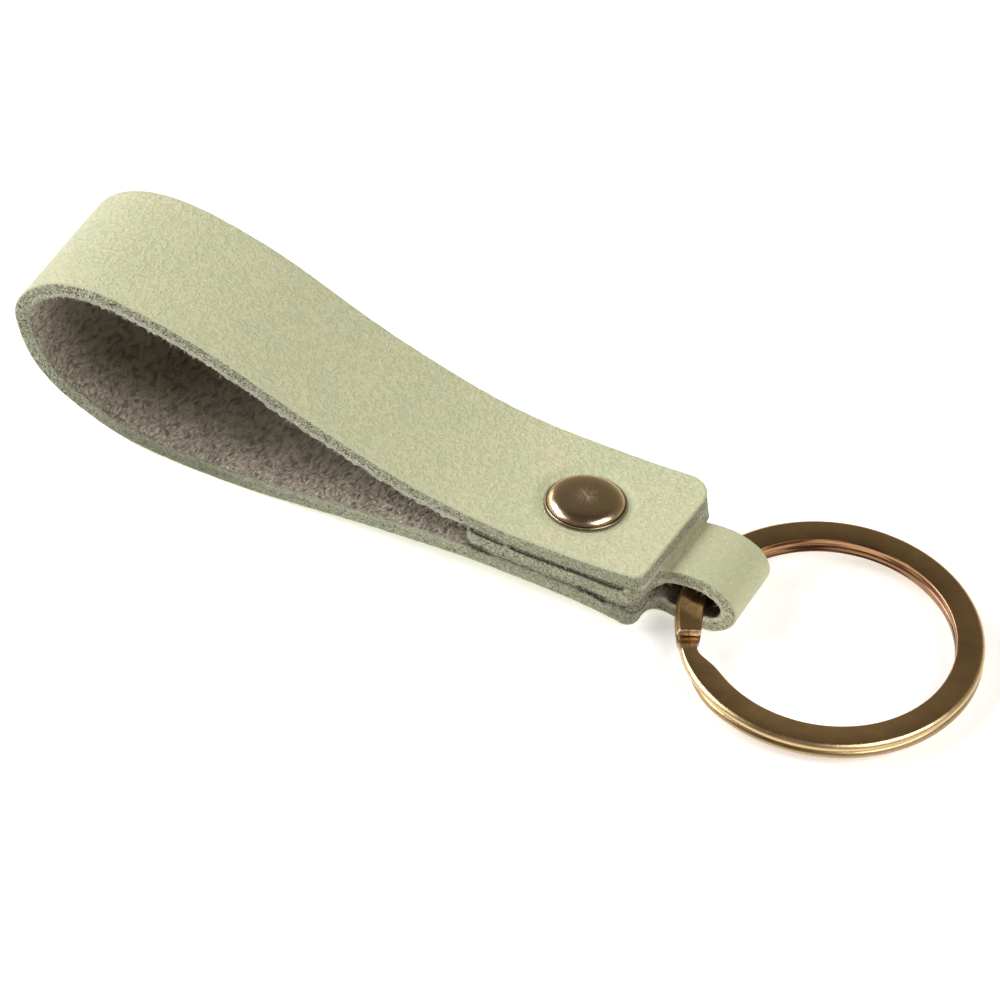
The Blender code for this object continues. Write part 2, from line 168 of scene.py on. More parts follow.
def softNoise(x, y, seed):
    # Value noise: random heights on whole-number points, smoothly blended between them, from -1 to 1
    table = np.random.default_rng(seed).uniform(-1, 1, (256, 256))
    left, low = np.floor(x).astype(int), np.floor(y).astype(int)
    acrossShare, upShare = smoothStep(x - left), smoothStep(y - low)
    start, end = (
        table[column % 256, low % 256] * (1 - upShare) + table[column % 256, (low + 1) % 256] * upShare
        for column in (left, left + 1))
    return start * (1 - acrossShare) + end * acrossShare


def splineThrough(points, fineness):
    # Natural cubic spline over chord length: cubics that share slope and bend where they meet.
    # Gives fine points, their unit tangents and the distance along.
    chords = np.linalg.norm(np.diff(points, axis=0), axis=1)
    knots = np.concatenate(([0.0], np.cumsum(chords)))
    count = len(knots)
    inner = np.arange(1, count - 1)
    system = np.eye(count)
    system[inner, inner - 1] = chords[:-1]
    system[inner, inner] = 2 * (chords[:-1] + chords[1:])
    system[inner, inner + 1] = chords[1:]
    bends = np.zeros_like(points)
    bends[inner] = 6 * np.diff(np.diff(points, axis=0) / chords[:, None], axis=0)
    bends = np.linalg.solve(system, bends)
    places = np.linspace(0.0, knots[-1], fineness * count)
    span = np.clip(np.searchsorted(knots, places) - 1, 0, count - 2)
    gap = chords[span][:, None]
    before = knots[span + 1][:, None] - places[:, None]
    after = places[:, None] - knots[span][:, None]
    (low, high), (lowBend, highBend) = ((values[span], values[span + 1]) for values in (points, bends))
    lowEnd, highEnd = low / gap - lowBend * gap / 6, high / gap - highBend * gap / 6
    fine = (lowBend * before**3 + highBend * after**3) / (6 * gap) + lowEnd * before + highEnd * after
    slopes = (highBend * after**2 - lowBend * before**2) / (2 * gap) - lowEnd + highEnd
    tangents = slopes / np.linalg.norm(slopes, axis=1)[:, None]
    steps = np.linalg.norm(np.diff(fine, axis=0), axis=1)
    return fine, tangents, np.concatenate(([0.0], np.cumsum(steps)))


def gridFaces(rows, columns, first, closed=False):
    # Corner numbers of the quads of a rows x columns grid whose points start at first
    index = first + np.arange(rows * columns).reshape(rows, columns)
    if closed:
        index = np.concatenate((index, index[:, :1]), axis=1)
    return toPoints(index[:-1, :-1], index[1:, :-1], index[1:, 1:], index[:-1, 1:]).reshape(-1, 4)


def addObject(name, data):
    # An object in the scene, at the origin
    item = bpy.data.objects.new(name, data)
    bpy.context.scene.collection.objects.link(item)
    return item


def finishPiece(name, mesh, materials, mergeDistance=None):
    # Joins what lies together where asked, turns the normals outward, and makes the smooth object
    shape = bmesh.new()
    shape.from_mesh(mesh)
    if mergeDistance:
        bmesh.ops.remove_doubles(shape, verts=shape.verts, dist=mergeDistance)
        bmesh.ops.dissolve_degenerate(shape, edges=shape.edges, dist=mergeDistance)
    bmesh.ops.recalc_face_normals(shape, faces=shape.faces)
    shape.to_mesh(mesh)
    shape.free()
    for material in materials:
        mesh.materials.append(material)
    mesh.shade_smooth()
    return addObject(name, mesh)


def wayTowards(azimuthDegrees, elevationDegrees):
    # Unit vector: azimuth runs from -Y towards +X, elevation upwards
    a, e = math.radians(azimuthDegrees), math.radians(elevationDegrees)
    return Vector((math.sin(a) * math.cos(e), -math.cos(a) * math.cos(e), math.sin(e)))


# Camera, set by matching the photo's outlines

photoView = {
    "azimuthDegrees": 25.24,
    "elevationDegrees": 42.98,
    "rollDegrees": 2.60,
    "distance": 646.4 * mm,
    "target": (stackX - 9.254 * mm, strapMiddle - 0.608 * mm, 3.718 * mm),
    "lensMillimetres": 231.56,
    "sensorMillimetres": 36.0,
}


def makeCamera(view):
    # Back points from the target to the camera; right and up are turned about it by the roll
    azimuth, roll = math.radians(view["azimuthDegrees"]), math.radians(view["rollDegrees"])
    back = wayTowards(view["azimuthDegrees"], view["elevationDegrees"])
    across = Vector((math.cos(azimuth), math.sin(azimuth), 0.0))
    right = math.cos(roll) * across + math.sin(roll) * back.cross(across)
    camera = bpy.data.cameras.new("photoCamera")
    camera.lens, camera.sensor_width = view["lensMillimetres"], view["sensorMillimetres"]
    camera.clip_start, camera.clip_end = 0.01, 100.0
    holder = addObject("photoCamera", camera)
    turn = Matrix((right, back.cross(right), back)).transposed().to_4x4()
    holder.matrix_world = Matrix.Translation(Vector(view["target"]) + view["distance"] * back) @ turn
    bpy.context.scene.camera = holder


makeCamera(photoView)
bpy.context.scene.view_settings.view_transform = "Standard"  # keeps the colours as chosen
print("camera set")


# Strap: one die-cut strip, folded round the ring and back through the rivet

strapCut = {
    "width": strapHigh[1] - strapLow[1],
    "thickness": 1.7 * mm,
    "tabWidth": 8.0 * mm,
    "nearCornerRadius": 1.0 * mm,
    "farCornerRadius": 3.2 * mm,
    "tailCornerRadius": 1.5 * mm,
    "shoulderRadius": 1.3 * mm,
    "crotchRadius": 1.6 * mm,
    "shoulderLean": 0.1 * mm,
    "nearShoulderReach": 8.0 * mm,
    "farShoulderReach": 8.6 * mm,  # the cut is slightly out of square
    "endLag": 0.7 * mm,  # how far the end's near side stays behind its far side
    "endLagRun": 9.0 * mm,
    "faceRoundOver": 0.15 * mm,  # the die rolls the grain over at the edge
    "backRoundOver": 0.12 * mm,
}
strapFold = {
    "loopReach": stackX - strapLow[0],
    "loopHeight": strapHigh[2] - strapLow[2],
    "tabReach": strapHigh[0] - stackX,
    "layerGap": 0.3 * mm,
    "seatHeight": 1.8 * mm,
    "seatDrop": 0.3 * mm,
    "tailReach": 9.6 * mm,
    "tailLift": 0.45 * mm,
    "endReach": 10.65 * mm,
    "endLift": 0.54 * mm,
    "foldHeight": 6.6 * mm,
    "capRadius": (capHigh[0] - capLow[0]) / 2,
}
strapRelief = {
    "pathFineness": 80,  # fine points for each point of the path
    "trialPlaces": 40000,  # from which the grid's places along the strap are chosen
    "gridStep": 0.3 * mm,
    "insetStep": 0.22 * mm,
    "columns": 50,
    "edgeSteps": 4,
    "endShift": 500,  # mm, which sets the ends' pattern apart from the long edges'
    "seatDepth": 0.3 * mm,
    "seatSlope": 1.1 * mm,
    "waveSize": 7.0 * mm,
    "waveHeight": 0.05 * mm,
    "napClumpSize": 0.7 * mm,
    "napClumpHeight": 0.05 * mm,
    "pressSize": 1.5 * mm,  # how long the bumps are that make the pressed gaps uneven
    "pressHeight": 0.09 * mm,
    "rimSize": 0.62 * mm,  # tufts that hang from the nap's rim
    "rimDroop": 0.28 * mm,
    "cutRoughSize": 0.5 * mm,
    "cutRoughHeight": 0.025 * mm,
    "fraySize": 0.35 * mm,
    "frayHeight": 0.07 * mm,
}
# The path of the grain side, as shares of the sizes above, in its own order
tailShares = ((-1.00, 1.00), (-0.72, 0.45), (-0.42, 0.07), (0.00, 0.00), (0.42, 0.00))
tabShares = (
    (0.437, 0.849), (0.546, 0.918), (0.656, 0.982), (0.743, 1.000), (0.831, 0.970),
    (0.907, 0.884), (0.967, 0.733), (1.000, 0.529), (0.992, 0.332), (0.945, 0.151),
    (0.874, 0.033), (0.798, 0.000), (0.683, 0.016), (0.546, 0.072), (0.383, 0.165),
)
seatShares = ((1.00, 1.00), (0.00, 0.00), (-1.00, -0.35))
lowerRunShares = (
    (0.152, 1.083), (0.244, 0.933), (0.337, 0.722), (0.430, 0.428),
    (0.524, 0.133), (0.619, 0.000), (0.714, 0.083),
)
bightShares = (
    (0.809, 0.052), (0.862, 0.117), (0.914, 0.203), (0.952, 0.303), (0.980, 0.435),
    (0.996, 0.575), (1.000, 0.660), (0.990, 0.767), (0.968, 0.859), (0.932, 0.940),
    (0.892, 0.984), (0.844, 1.000),
)
upperRunShares = (
    (0.760, 0.949), (0.666, 0.840), (0.573, 0.686), (0.480, 0.500),
    (0.387, 0.333), (0.293, 0.182), (0.201, 0.074), (0.128, 0.021),
)
endShares = ((-0.41, 0.03), (0.00, 0.00), (0.41, 0.09), (0.70, 0.46), (1.00, 1.00))
# Where the pressed layers' naps swell to meet each other: reach from the rivet and swelling, both in mm
tabNapSwell = (
    (-9.6, 0.24), (-8.0, 0.16), (-6.0, 0.09), (-4.0, 0.06), (-2.5, 0.10), (0.0, 0.14), (2.5, 0.21),
    (3.4, 0.20), (5.0, 0.26), (6.0, 0.34), (7.0, 0.44), (8.0, 0.52), (9.0, 0.46), (10.0, 0.28),
    (11.2, 0.0),
)
topNapSwell = (
    (-12.0, 0.0), (-9.0, 0.08), (-6.0, 0.14), (2.0, 0.17), (5.0, 0.27), (8.0, 0.40), (10.6, 0.24),
)
# The cut edge along the strap: distance along in mm, its painted shade, and how strong its specks are.
# The painted shade is darkest round the bight, where the edge turns down away from the light, and palest
# round the tab's nose.
edgePaintedShade = (
    (0, 1.06, 1.1), (10, 0.98, 0.9), (22, 0.98, 0.8), (26, 1.46, 1.0), (33, 1.46, 1.0), (37, 0.98, 0.9),
    (41, 0.66, 0.8), (46, 0.90, 0.8), (54, 0.98, 0.9), (64, 0.98, 0.9), (76, 0.92, 0.9), (84, 0.84, 0.9),
    (90, 0.61, 0.8), (98, 0.60, 0.8), (103, 0.78, 0.9), (107, 0.66, 1.3), (112, 0.88, 1.3),
    (117, 0.78, 1.4), (122, 0.98, 1.5), (130, 0.88, 1.5), (138, 0.88, 1.4), (150, 0.82, 1.5),
    (165, 0.88, 1.4), (180, 1.00, 0.7), (190, 0.90, 0.7), (194, 0.88, 0.8),
)
# The grain along the strap: distance along in mm, its painted shade, and how deep its wrinkles are.
# The painted shade is lighter at the bight and the end, where the light falls stronger, and darker round
# the tab, where the wrinkles are also stretched smooth.
grainPaintedShade = (
    (0, 1.00, 1.0), (18, 1.00, 1.0), (25, 1.00, 0.35), (31, 0.93, 0.35), (36, 0.95, 0.35), (44, 1.0, 1.0),
    (112, 0.97, 1.0), (120, 0.95, 1.0), (127, 1.04, 1.0), (134, 1.06, 1.0), (146, 1.01, 1.0),
    (165, 1.01, 1.0), (176, 1.06, 1.0), (194, 1.08, 0.9),
)
# The nap along the strap: distance along in mm, and its painted shade.
# It is painted dark in the shadow inside the tab's eye where the ring runs, where its hairs also lie
# flatter, and paler where the loop narrows.
napPaintedShade = (
    (0, 1.0), (20, 1.0), (24, 0.58), (37, 0.58), (42, 1.0), (58, 1.12), (68, 1.20), (80, 1.08),
    (92, 1.0), (194, 1.0),
)
# How dark the painted shadow in the crease between two pressed layers is, by the reach from the rivet in
# mm:
# under the top layer, with a crumb in it, and between the tab's two arms
topCreaseShadow = (
    (-9.7, 0.0), (-9.3, 0.9), (-5.3, 0.9), (-5.1, 0.1), (-4.7, 0.1), (-4.5, 0.9), (8.0, 0.9), (9.6, 0.4),
    (10.6, 0.0),
)
armCreaseShadow = (
    (-9.6, 0.5), (-8.6, 0.9), (-6.9, 0.9), (-6.2, 0.3), (2.9, 0.35), (3.3, 1.0), (6.0, 1.0), (6.5, 0.5),
    (9.0, 0.4), (10.5, 0.0),
)
# How far the nap's rim blends into the cut edge on the loop: distance along in mm, and share
rimBlend = ((58, 0.0), (62, 0.10), (94, 0.12), (102, 0.18), (118, 0.18), (126, 0.02), (140, 0.0))
# Where layers are pressed together or scraped by the ring, so that no tuft hangs there:
# distance along in mm, and 0 for free to 1 for pressed
pressedRuns = ((0, 1), (59, 1), (61, 0), (174, 0), (176, 1), (194, 1))
# How far the loop's far edge stands above its near one: shares of the loop's reach back, and mm
upperTwist = (
    (1.0, 0.0), (0.88, 0.30), (0.77, 0.50), (0.66, 0.28), (0.55, -0.10), (0.42, -0.28), (0.20, -0.22),
    (0.08, 0.0),
)


def facePath(fold, thickness):
    # (x, z) points of the grain side, from the tail's end, round the tab, along the loop to the top end
    topFace = fold["seatHeight"] + 3 * thickness + 2 * fold["layerGap"]
    middleFace = topFace - thickness - fold["layerGap"]
    runs = (
        (tailShares, fold["tailReach"], middleFace, fold["tailLift"]),
        (tabShares, fold["tabReach"], 0.0, fold["foldHeight"]),
        (seatShares, fold["capRadius"], fold["seatHeight"], -fold["seatDrop"]),
        (lowerRunShares, -fold["loopReach"], 0.0, fold["seatHeight"]),
        (bightShares, -fold["loopReach"], 0.0, fold["loopHeight"]),
        (upperRunShares, -fold["loopReach"], topFace, fold["loopHeight"] - topFace),
        (endShares, fold["endReach"], topFace, fold["endLift"]),
    )
    points = [np.array(shares) * (reach, rise) + (0.0, base) for shares, reach, base, rise in runs]
    return np.concatenate(points) + (stackX, strapLow[2])


pathPoints, pathTangents, pathAlong = splineThrough(
    facePath(strapFold, strapCut["thickness"]), strapRelief["pathFineness"])
pathLength = pathAlong[-1]
noseIndex, bightIndex = int(np.argmax(pathPoints[:, 0])), int(np.argmin(pathPoints[:, 0]))
pathRuns = {
    "tail": slice(0, noseIndex), "lower": slice(noseIndex, bightIndex), "top": slice(bightIndex, None)}


def onPath(along, values):
    # Two values of the path at a distance along it
    return (np.interp(along, pathAlong, values[:, axis]) for axis in (0, 1))


def alongWhere(reach, run):
    # Distance along the path where a run of it passes the stack's middle + reach
    x, along = pathPoints[pathRuns[run], 0] - stackX, pathAlong[pathRuns[run]]
    order = 1 if x[-1] > x[0] else -1
    return np.interp(reach, x[::order], along[::order])


topRivetAlong, lowerRivetAlong = (alongWhere(capX - stackX, run) for run in ("top", "lower"))
armsEnd = lowerRivetAlong + strapFold["tailReach"]  # the tab's two arms are pressed before it
topStart = topRivetAlong - strapFold["tailReach"]  # and the top layer after this
shoulderAlongs = {
    side: [alongWhere(strapCut[side + "ShoulderReach"], run) for run in ("tail", "lower")]
    for side in ("near", "far")}


def edgeInset(along, side):
    # How far one edge of the flat cut stands in from the full width at a distance along it
    cut = strapCut
    depth, radius, crotch = (cut["width"] - cut["tabWidth"]) / 2, cut["shoulderRadius"], cut["crotchRadius"]
    before, after = shoulderAlongs[side]
    distance = np.minimum(along - before, after - along)
    past = distance - radius - cut["shoulderLean"]
    filling = depth - crotch + np.sqrt(crotch**2 - np.clip(crotch - past, 0.0, crotch) ** 2)
    shoulder = np.where(past < -cut["shoulderLean"] / 2, arcDrop(distance, radius), filling)
    tail, end = cut["tailCornerRadius"], cut[side + "CornerRadius"]
    corners = arcDrop(tail - along, tail), arcDrop(end - (pathLength - along), end)
    return np.where(distance > 0, shoulder, 0.0) + corners[0] + corners[1]


def stationPlaces(relief):
    # Places along the strap: a step of the grid, closer where an edge turns inwards
    fine = np.linspace(0.0, pathLength, relief["trialPlaces"])
    effort = np.full(len(fine) - 1, fine[1] / relief["gridStep"])
    for side in ("near", "far"):
        effort = np.maximum(effort, np.abs(np.diff(edgeInset(fine, side))) / relief["insetStep"])
    total = np.concatenate(([0.0], np.cumsum(effort)))
    return np.interp(np.linspace(0.0, total[-1], int(total[-1]) + 1), total, fine)


def napSwell(along, x):
    # Swelling of the back by the tables, for the tab's two arms and for the top layer
    reach = (x - stackX) / mm
    arms = fromTable(tabNapSwell, reach) * (along < armsEnd)
    swell = arms + fromTable(topNapSwell, reach) * (along > topStart)
    uneven = strapRelief["pressHeight"] * softNoise(along / strapRelief["pressSize"], 20, 13)
    return swell * mm + uneven * (swell > 0)


def farEdgeLift(along):
    # The loop's slight twist: the far edge's height over the near one, by the table of shares
    shares, lifts = np.array(upperTwist).T
    alongs = alongWhere(-strapFold["loopReach"] * shares * 0.999, "top")  # stays just inside the bight
    return np.interp(along, alongs, lifts * mm, left=0.0, right=0.0)


def seatPress(along, across):
    # The caps press a round seat into the grain: full depth inside, sloping out over seatSlope
    press = 0.0
    for place in (topRivetAlong, lowerRivetAlong):
        beyond = np.hypot(along - place, across - (capY - strapMiddle)) - strapFold["capRadius"]
        press = press + strapRelief["seatDepth"] * (1 - smoothStep(beyond / strapRelief["seatSlope"]))
    return press


def strapSurface(along, across, depth):
    # A point of the strap: along the bent path, across it, and depth under the grain side.
    # The end's skew moves it along, the twist and the reliefs move it along the path's normal.
    relief, width = strapRelief, strapCut["width"]
    lag = strapCut["endLag"] * (1 / 2 - across / width)
    along = along - lag * smoothStep(1 - (pathLength - along) / strapCut["endLagRun"])
    (x, z), (tangentX, tangentZ) = onPath(along, pathPoints), onPath(along, pathTangents)
    size, clump = relief["waveSize"], relief["napClumpSize"]
    wave = relief["waveHeight"] * softNoise(along / size, across / size + 40, 3)
    nap = relief["napClumpHeight"] * softNoise(along / clump, across / clump + 90, 5)
    share = depth / strapCut["thickness"]
    outward = (1 - share) * (wave - seatPress(along, across)) - share * (nap + napSwell(along, x))
    outward = outward + farEdgeLift(along) * (across / width + 1 / 2) - depth
    return toPoints(x - tangentZ * outward, across + strapMiddle, z + tangentX * outward)


def sectionProfile(cut, relief):
    # One edge from grain to back: (inward offset, depth), two quarter rounds and a straight between
    steps = relief["edgeSteps"]
    quarter = np.linspace(0.0, math.pi / 2, steps + 1)
    sine, cosine = 1 - np.sin(quarter), 1 - np.cos(quarter)
    face, back, thickness = cut["faceRoundOver"], cut["backRoundOver"], cut["thickness"]
    middle = np.linspace(face, thickness - back, 2 * steps + 1)[1:-1]
    return np.concatenate((
        toPoints(face * sine, face * cosine), toPoints(0.0, middle),
        toPoints(back * cosine, thickness - back * sine)))


def joinGrids(name, grids, materials):
    # One closed mesh from grids that share borders. A grid is its points, its six layer values
    # (flat place in mm, painted shade and depth of wear, and two shares of painted crease shadow) and its
    # material number.
    faces, first = [], 0
    for shape, _, _ in grids:
        faces.append(gridFaces(*shape.shape[:2], first))
        first += shape[..., 0].size
    slots = np.repeat([number for _, _, number in grids], [len(quads) for quads in faces])
    faces = np.concatenate(faces)
    mesh = bpy.data.meshes.new(name)
    mesh.from_pydata(np.concatenate([shape.reshape(-1, 3) for shape, _, _ in grids]), [], faces)
    mesh.polygons.foreach_set("material_index", slots.astype(np.int32))
    values = np.concatenate([layers.reshape(-1, 6) for _, layers, _ in grids])
    atCorners = values[faces.reshape(-1)].astype(np.float32)
    for start, layer in enumerate(("flat", "wear", "seam")):
        columns = atCorners[:, 2 * start:2 * start + 2]
        mesh.uv_layers.new(name=layer).data.foreach_set("uv", columns.reshape(-1))
    return finishPiece(name, mesh, materials, mm / 1000)


def makeStrap(materials):
    # Six grids that share borders, like a box: grain, back, two long edges and two ends
    relief = strapRelief
    stations = stationPlaces(relief)
    offset, depth = sectionProfile(strapCut, relief).T
    halves = [strapCut["width"] / 2 - edgeInset(stations, side) for side in ("near", "far")]
    shares = np.linspace(0.0, 1.0, relief["columns"] + 1)
    lengthwise, roundEdge, throughEdge = stations[:, None], offset[None, :], depth[None, :]

    def place(along, inset, share, level):
        # Shrinks the flat outline by inset, so that it follows the round-over, and roughens the cut.
        # Gives the points, and their places along and across the flat strap in mm.
        alongIn = inset + along * (pathLength - 2 * inset) / pathLength
        near, far = (np.interp(along, stations, half) - inset for half in halves)
        across = -near + share * (near + far)
        outward, sunk, size = 2 * share - 1, level / strapCut["thickness"], relief["cutRoughSize"]
        atEdge = np.abs(outward) > 0.999
        rough = relief["cutRoughHeight"] * softNoise(alongIn / size, level / size + across, 7)
        fray = relief["frayHeight"] * softNoise(alongIn / relief["fraySize"], across / mm, 11)
        across = across + outward * (rough + fray * smoothStep(sunk * 4 - 3)) * atEdge
        rim = alongIn / relief["rimSize"]
        tuft = np.clip(softNoise(rim, 60, 23) + softNoise(rim * 2.1, 61, 29), 0.0, 1.0)
        free = 1 - smoothStep(fromTable(pressedRuns, alongIn / mm))
        droop = relief["rimDroop"] * tuft * free * smoothStep(sunk * 5 - 4) * atEdge
        return strapSurface(alongIn, across, level + droop), alongIn / mm, across / mm

    def withShadeAndWear(flatX, flatY, along, shadeTable):
        # The six layer values at a flat place: the place, the table's painted shade and last column, the
        # painted crease shadows
        shade, strength = (fromTable(shadeTable, along / mm, column) for column in (1, -1))
        reach = (np.interp(along, pathAlong, pathPoints[:, 0]) - stackX) / mm
        under, arms = fromTable(topCreaseShadow, reach), fromTable(armCreaseShadow, reach) * (along < armsEnd)
        nap = np.where(along > topStart, under, np.maximum(arms, fromTable(rimBlend, along / mm)))
        film = under * (along < shoulderAlongs["near"][0])
        return toPoints(flatX, flatY, shade, strength, nap, film)

    grids = []
    for level, number, table in ((0, 0, grainPaintedShade), (-1, 2, napPaintedShade)):
        points, flatX, flatY = place(lengthwise, offset[level], shares[None, :], depth[level])
        grids.append((points, withShadeAndWear(flatX, flatY, lengthwise, table), number))
    for share in (0.0, 1.0):
        points = place(lengthwise, roundEdge, share, throughEdge)[0]
        grids.append((points, withShadeAndWear(lengthwise / mm, throughEdge / mm, lengthwise, edgePaintedShade), 1))
    for along in (0.0, pathLength):
        points, _, flatY = place(along, roundEdge, shares[:, None], throughEdge)
        grids.append((points, withShadeAndWear(flatY + relief["endShift"], throughEdge / mm, along, edgePaintedShade), 1))
    strap = joinGrids("strapLeather", grids, materials)
    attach(strap, "strap_body")
    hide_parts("strap")
    return strap


leatherLook = {
    "sage": "#c2c7a4",
    "cream": "#c9c7a5",
    # The ridge colour is a painted highlight on the wrinkles' crests, the valley colour a painted shade in
    # their dips
    "ridge": "#e0e2c5",
    "valley": "#b2b693",
    "fleck": "#e9dfc6",
    "darkFleck": "#a5a584",
    "coreLow": "#83856c",
    "coreHigh": "#a5a68d",
    "coreDark": "#34352a",
    "coreLight": "#dcdbc8",
    "rim": "#c0beac",
    # A painted shadow for the creases between pressed layers
    "crease": "#2e2d23",
    "nap": "#8f8779",
    "napDark": "#655d51",
    "napLight": "#cdc6b9",
    "napPit": "#3a342b",
    "patchPeriod": 4.5,  # millimetres, like the next ones
    "wrinkleSize": 0.80,
    "poreSize": 0.17,
    "fleckSize": 0.24,
    "coreGrainSize": 0.14,
    "napWide": 0.30,
    "napLong": 0.62,
    "filmDepth": 0.10,
    "rimDepth": 1.12,
    "napCreaseDepth": (1.66, 1.90),  # where a crease begins and is full, under the grain side
    "filmCreaseDepth": (0.66, 0.44),
    "capLine": (-0.10, 0.06),  # where the painted shadow line round the cap is full and ends, from its edge
    "brushedAcross": (-0.3, -7.5),  # where the nap's painted light begins and is full, across the strap
}


def makeGrainMaterial(look):
    # Polyurethane film embossed with fine worm-like wrinkles: matt, even, a few pale and dull flecks.
    # Its crests are painted paler as highlight and its dips darker as shade.
    # A wrinkle's crest runs where a noise passes its middle value: 1 less its distance from there.
    material, add, shader = startMaterial("embossedFauxLeather", {
        "Specular IOR Level": 0.42, "Sheen Weight": 0.06, "Sheen Roughness": 0.5})
    inMm, wear = objectMm(add), layerParts(add, "wear")
    patch, worm, pore, fleck = (
        add("TexNoise", (inMm, 1 / look[size], *rest)) for size, *rest in (
            ("patchPeriod", 2.0, 0.5), ("wrinkleSize", 2.0, 0.55, 0.35),
            ("poreSize", 2.0, 0.6), ("fleckSize", 1.0)))
    aside = add("Math", (add("Math", (worm, 0.5), **minus),), operation="ABSOLUTE")
    crest, relief = (add("MapRange", (aside, 0.0, width, 1.0, 0.0), **eased) for width in (0.06, 0.15))
    dip = add("MapRange", (aside, 0.06, 0.18, 0.0, 0.26), **eased)
    crestDepth = add("Math", (wear["Y"], 0.28), **times)
    tint = look["sage"]
    for share, colour in (
            (add("MapRange", (patch, 0.34, 0.68), **eased), "cream"),
            (add("Math", (dip, wear["Y"]), **times), "valley"),
            (add("Math", (crest, crestDepth), **times), "ridge"),
            (add("MapRange", (fleck, 0.61, 0.75, 0.0, 0.7)), "fleck"),
            (add("MapRange", (fleck, 0.37, 0.24, 0.0, 0.5)), "darkFleck")):
        tint = add("Mix", (share, tint, look[colour]), **rgba)
    # A painted contact shadow darkens a thin line round the cap's edge
    rim = strapFold["capRadius"] / mm
    full, end = (rim + away for away in look["capLine"])
    capShadow = add("MapRange", (capPlace(add)[1], full, end, 0.40, 1.0), **eased)
    value = add("Math", (capShadow, wear["X"]), **times)
    wrinkles = add("Bump", (relief, wear["Y"], 0.06 * mm))
    setInputs(shader, {
        "Base Color": add("HueSaturation", (value, tint)),
        "Roughness": add("MapRange", (pore, 0.3, 0.7, 0.46, 0.66)),
        "Normal": add("Bump", (pore, 0.5, 0.03 * mm, wrinkles))})
    return material


def makeCutMaterial(look):
    # Die-cut edge: pressed grey-green fibre with dark pits and pale ends, a ragged film line above
    # and a paler, fuzzier band by the nap. A layer of painted shade darkens or lightens it along the strap.
    material, add, shader = startMaterial("dieCutFauxLeatherEdge", {
        "Roughness": 0.9, "Specular IOR Level": 0.25, "Sheen Weight": 0.12})
    inMm, depth = objectMm(add), layerParts(add, "flat")["Y"]
    wear, seam = layerParts(add, "wear"), layerParts(add, "seam")
    speck = add("TexVoronoi", {"Vector": inMm, "Scale": 1 / look["coreGrainSize"]})
    chance = add("SeparateXYZ", (speck.outputs["Color"],)).outputs
    cloud = add("TexNoise", (inMm, 1.6, 4.0, 0.7))
    fine = add("TexNoise", (inMm, 5.0, 3.0, 0.65))
    ragged = add("Math", (fine, 0.7, depth), **timesPlus)
    torn = add("Math", (cloud, 1.3, ragged), **timesPlus)
    rim = add("MapRange", (torn, look["rimDepth"] + 0.95, look["rimDepth"] + 1.25, 0.0, 0.75), **eased)
    loose = add("Math", (seam["X"], -4.0, 1.0), **timesPlus, use_clamp=True)
    rimShare = add("Math", (rim, loose), **times)
    strength = add("Math", (wear["Y"], add("Math", (1.05, rimShare), **minus)), **times)
    pit = add("MapRange", (chance["X"], 0.72, 0.90, 0.0, 0.75))
    tip = add("MapRange", (chance["Y"], 0.72, 0.95, 0.0, 0.6))
    film = add("MapRange", (ragged, look["filmDepth"] + 0.50, look["filmDepth"] + 0.32), **eased)
    bareFilm = add("Math", (seam["Y"], -1.0, 1.0), **timesPlus)
    # Painted shadow in the creases where layers press together: a dark, ragged line at the nap's rim and at
    # the film's
    napCrease, filmCrease = (
        add("Math", (add("MapRange", (ragged, *look[key]), **eased), seam[part]), **times)
        for key, part in (("napCreaseDepth", "X"), ("filmCreaseDepth", "Y")))
    crease = add("Math", (napCrease, filmCrease), operation="MAXIMUM", use_clamp=True)
    tint = look["coreLow"]
    for share, colour in (
            (cloud, "coreHigh"), (rimShare, "rim"),
            (add("Math", (pit, strength), **clampedTimes), "coreDark"),
            (add("Math", (tip, wear["Y"]), **clampedTimes), "coreLight")):
        tint = add("Mix", (share, tint, look[colour]), **rgba)
    # Painted shade along the strap
    tint = add("HueSaturation", (wear["X"], tint))
    for share, colour in ((add("Math", (film, bareFilm), **clampedTimes), "sage"), (crease, "crease")):
        tint = add("Mix", (share, tint, look[colour]), **rgba)
    crumbs = add("Bump", (chance["Z"], 0.6, 0.05 * mm))
    setInputs(shader, {
        "Base Color": tint,
        "Normal": add("Bump", (fine, 0.7, 0.08 * mm, crumbs))})
    return material


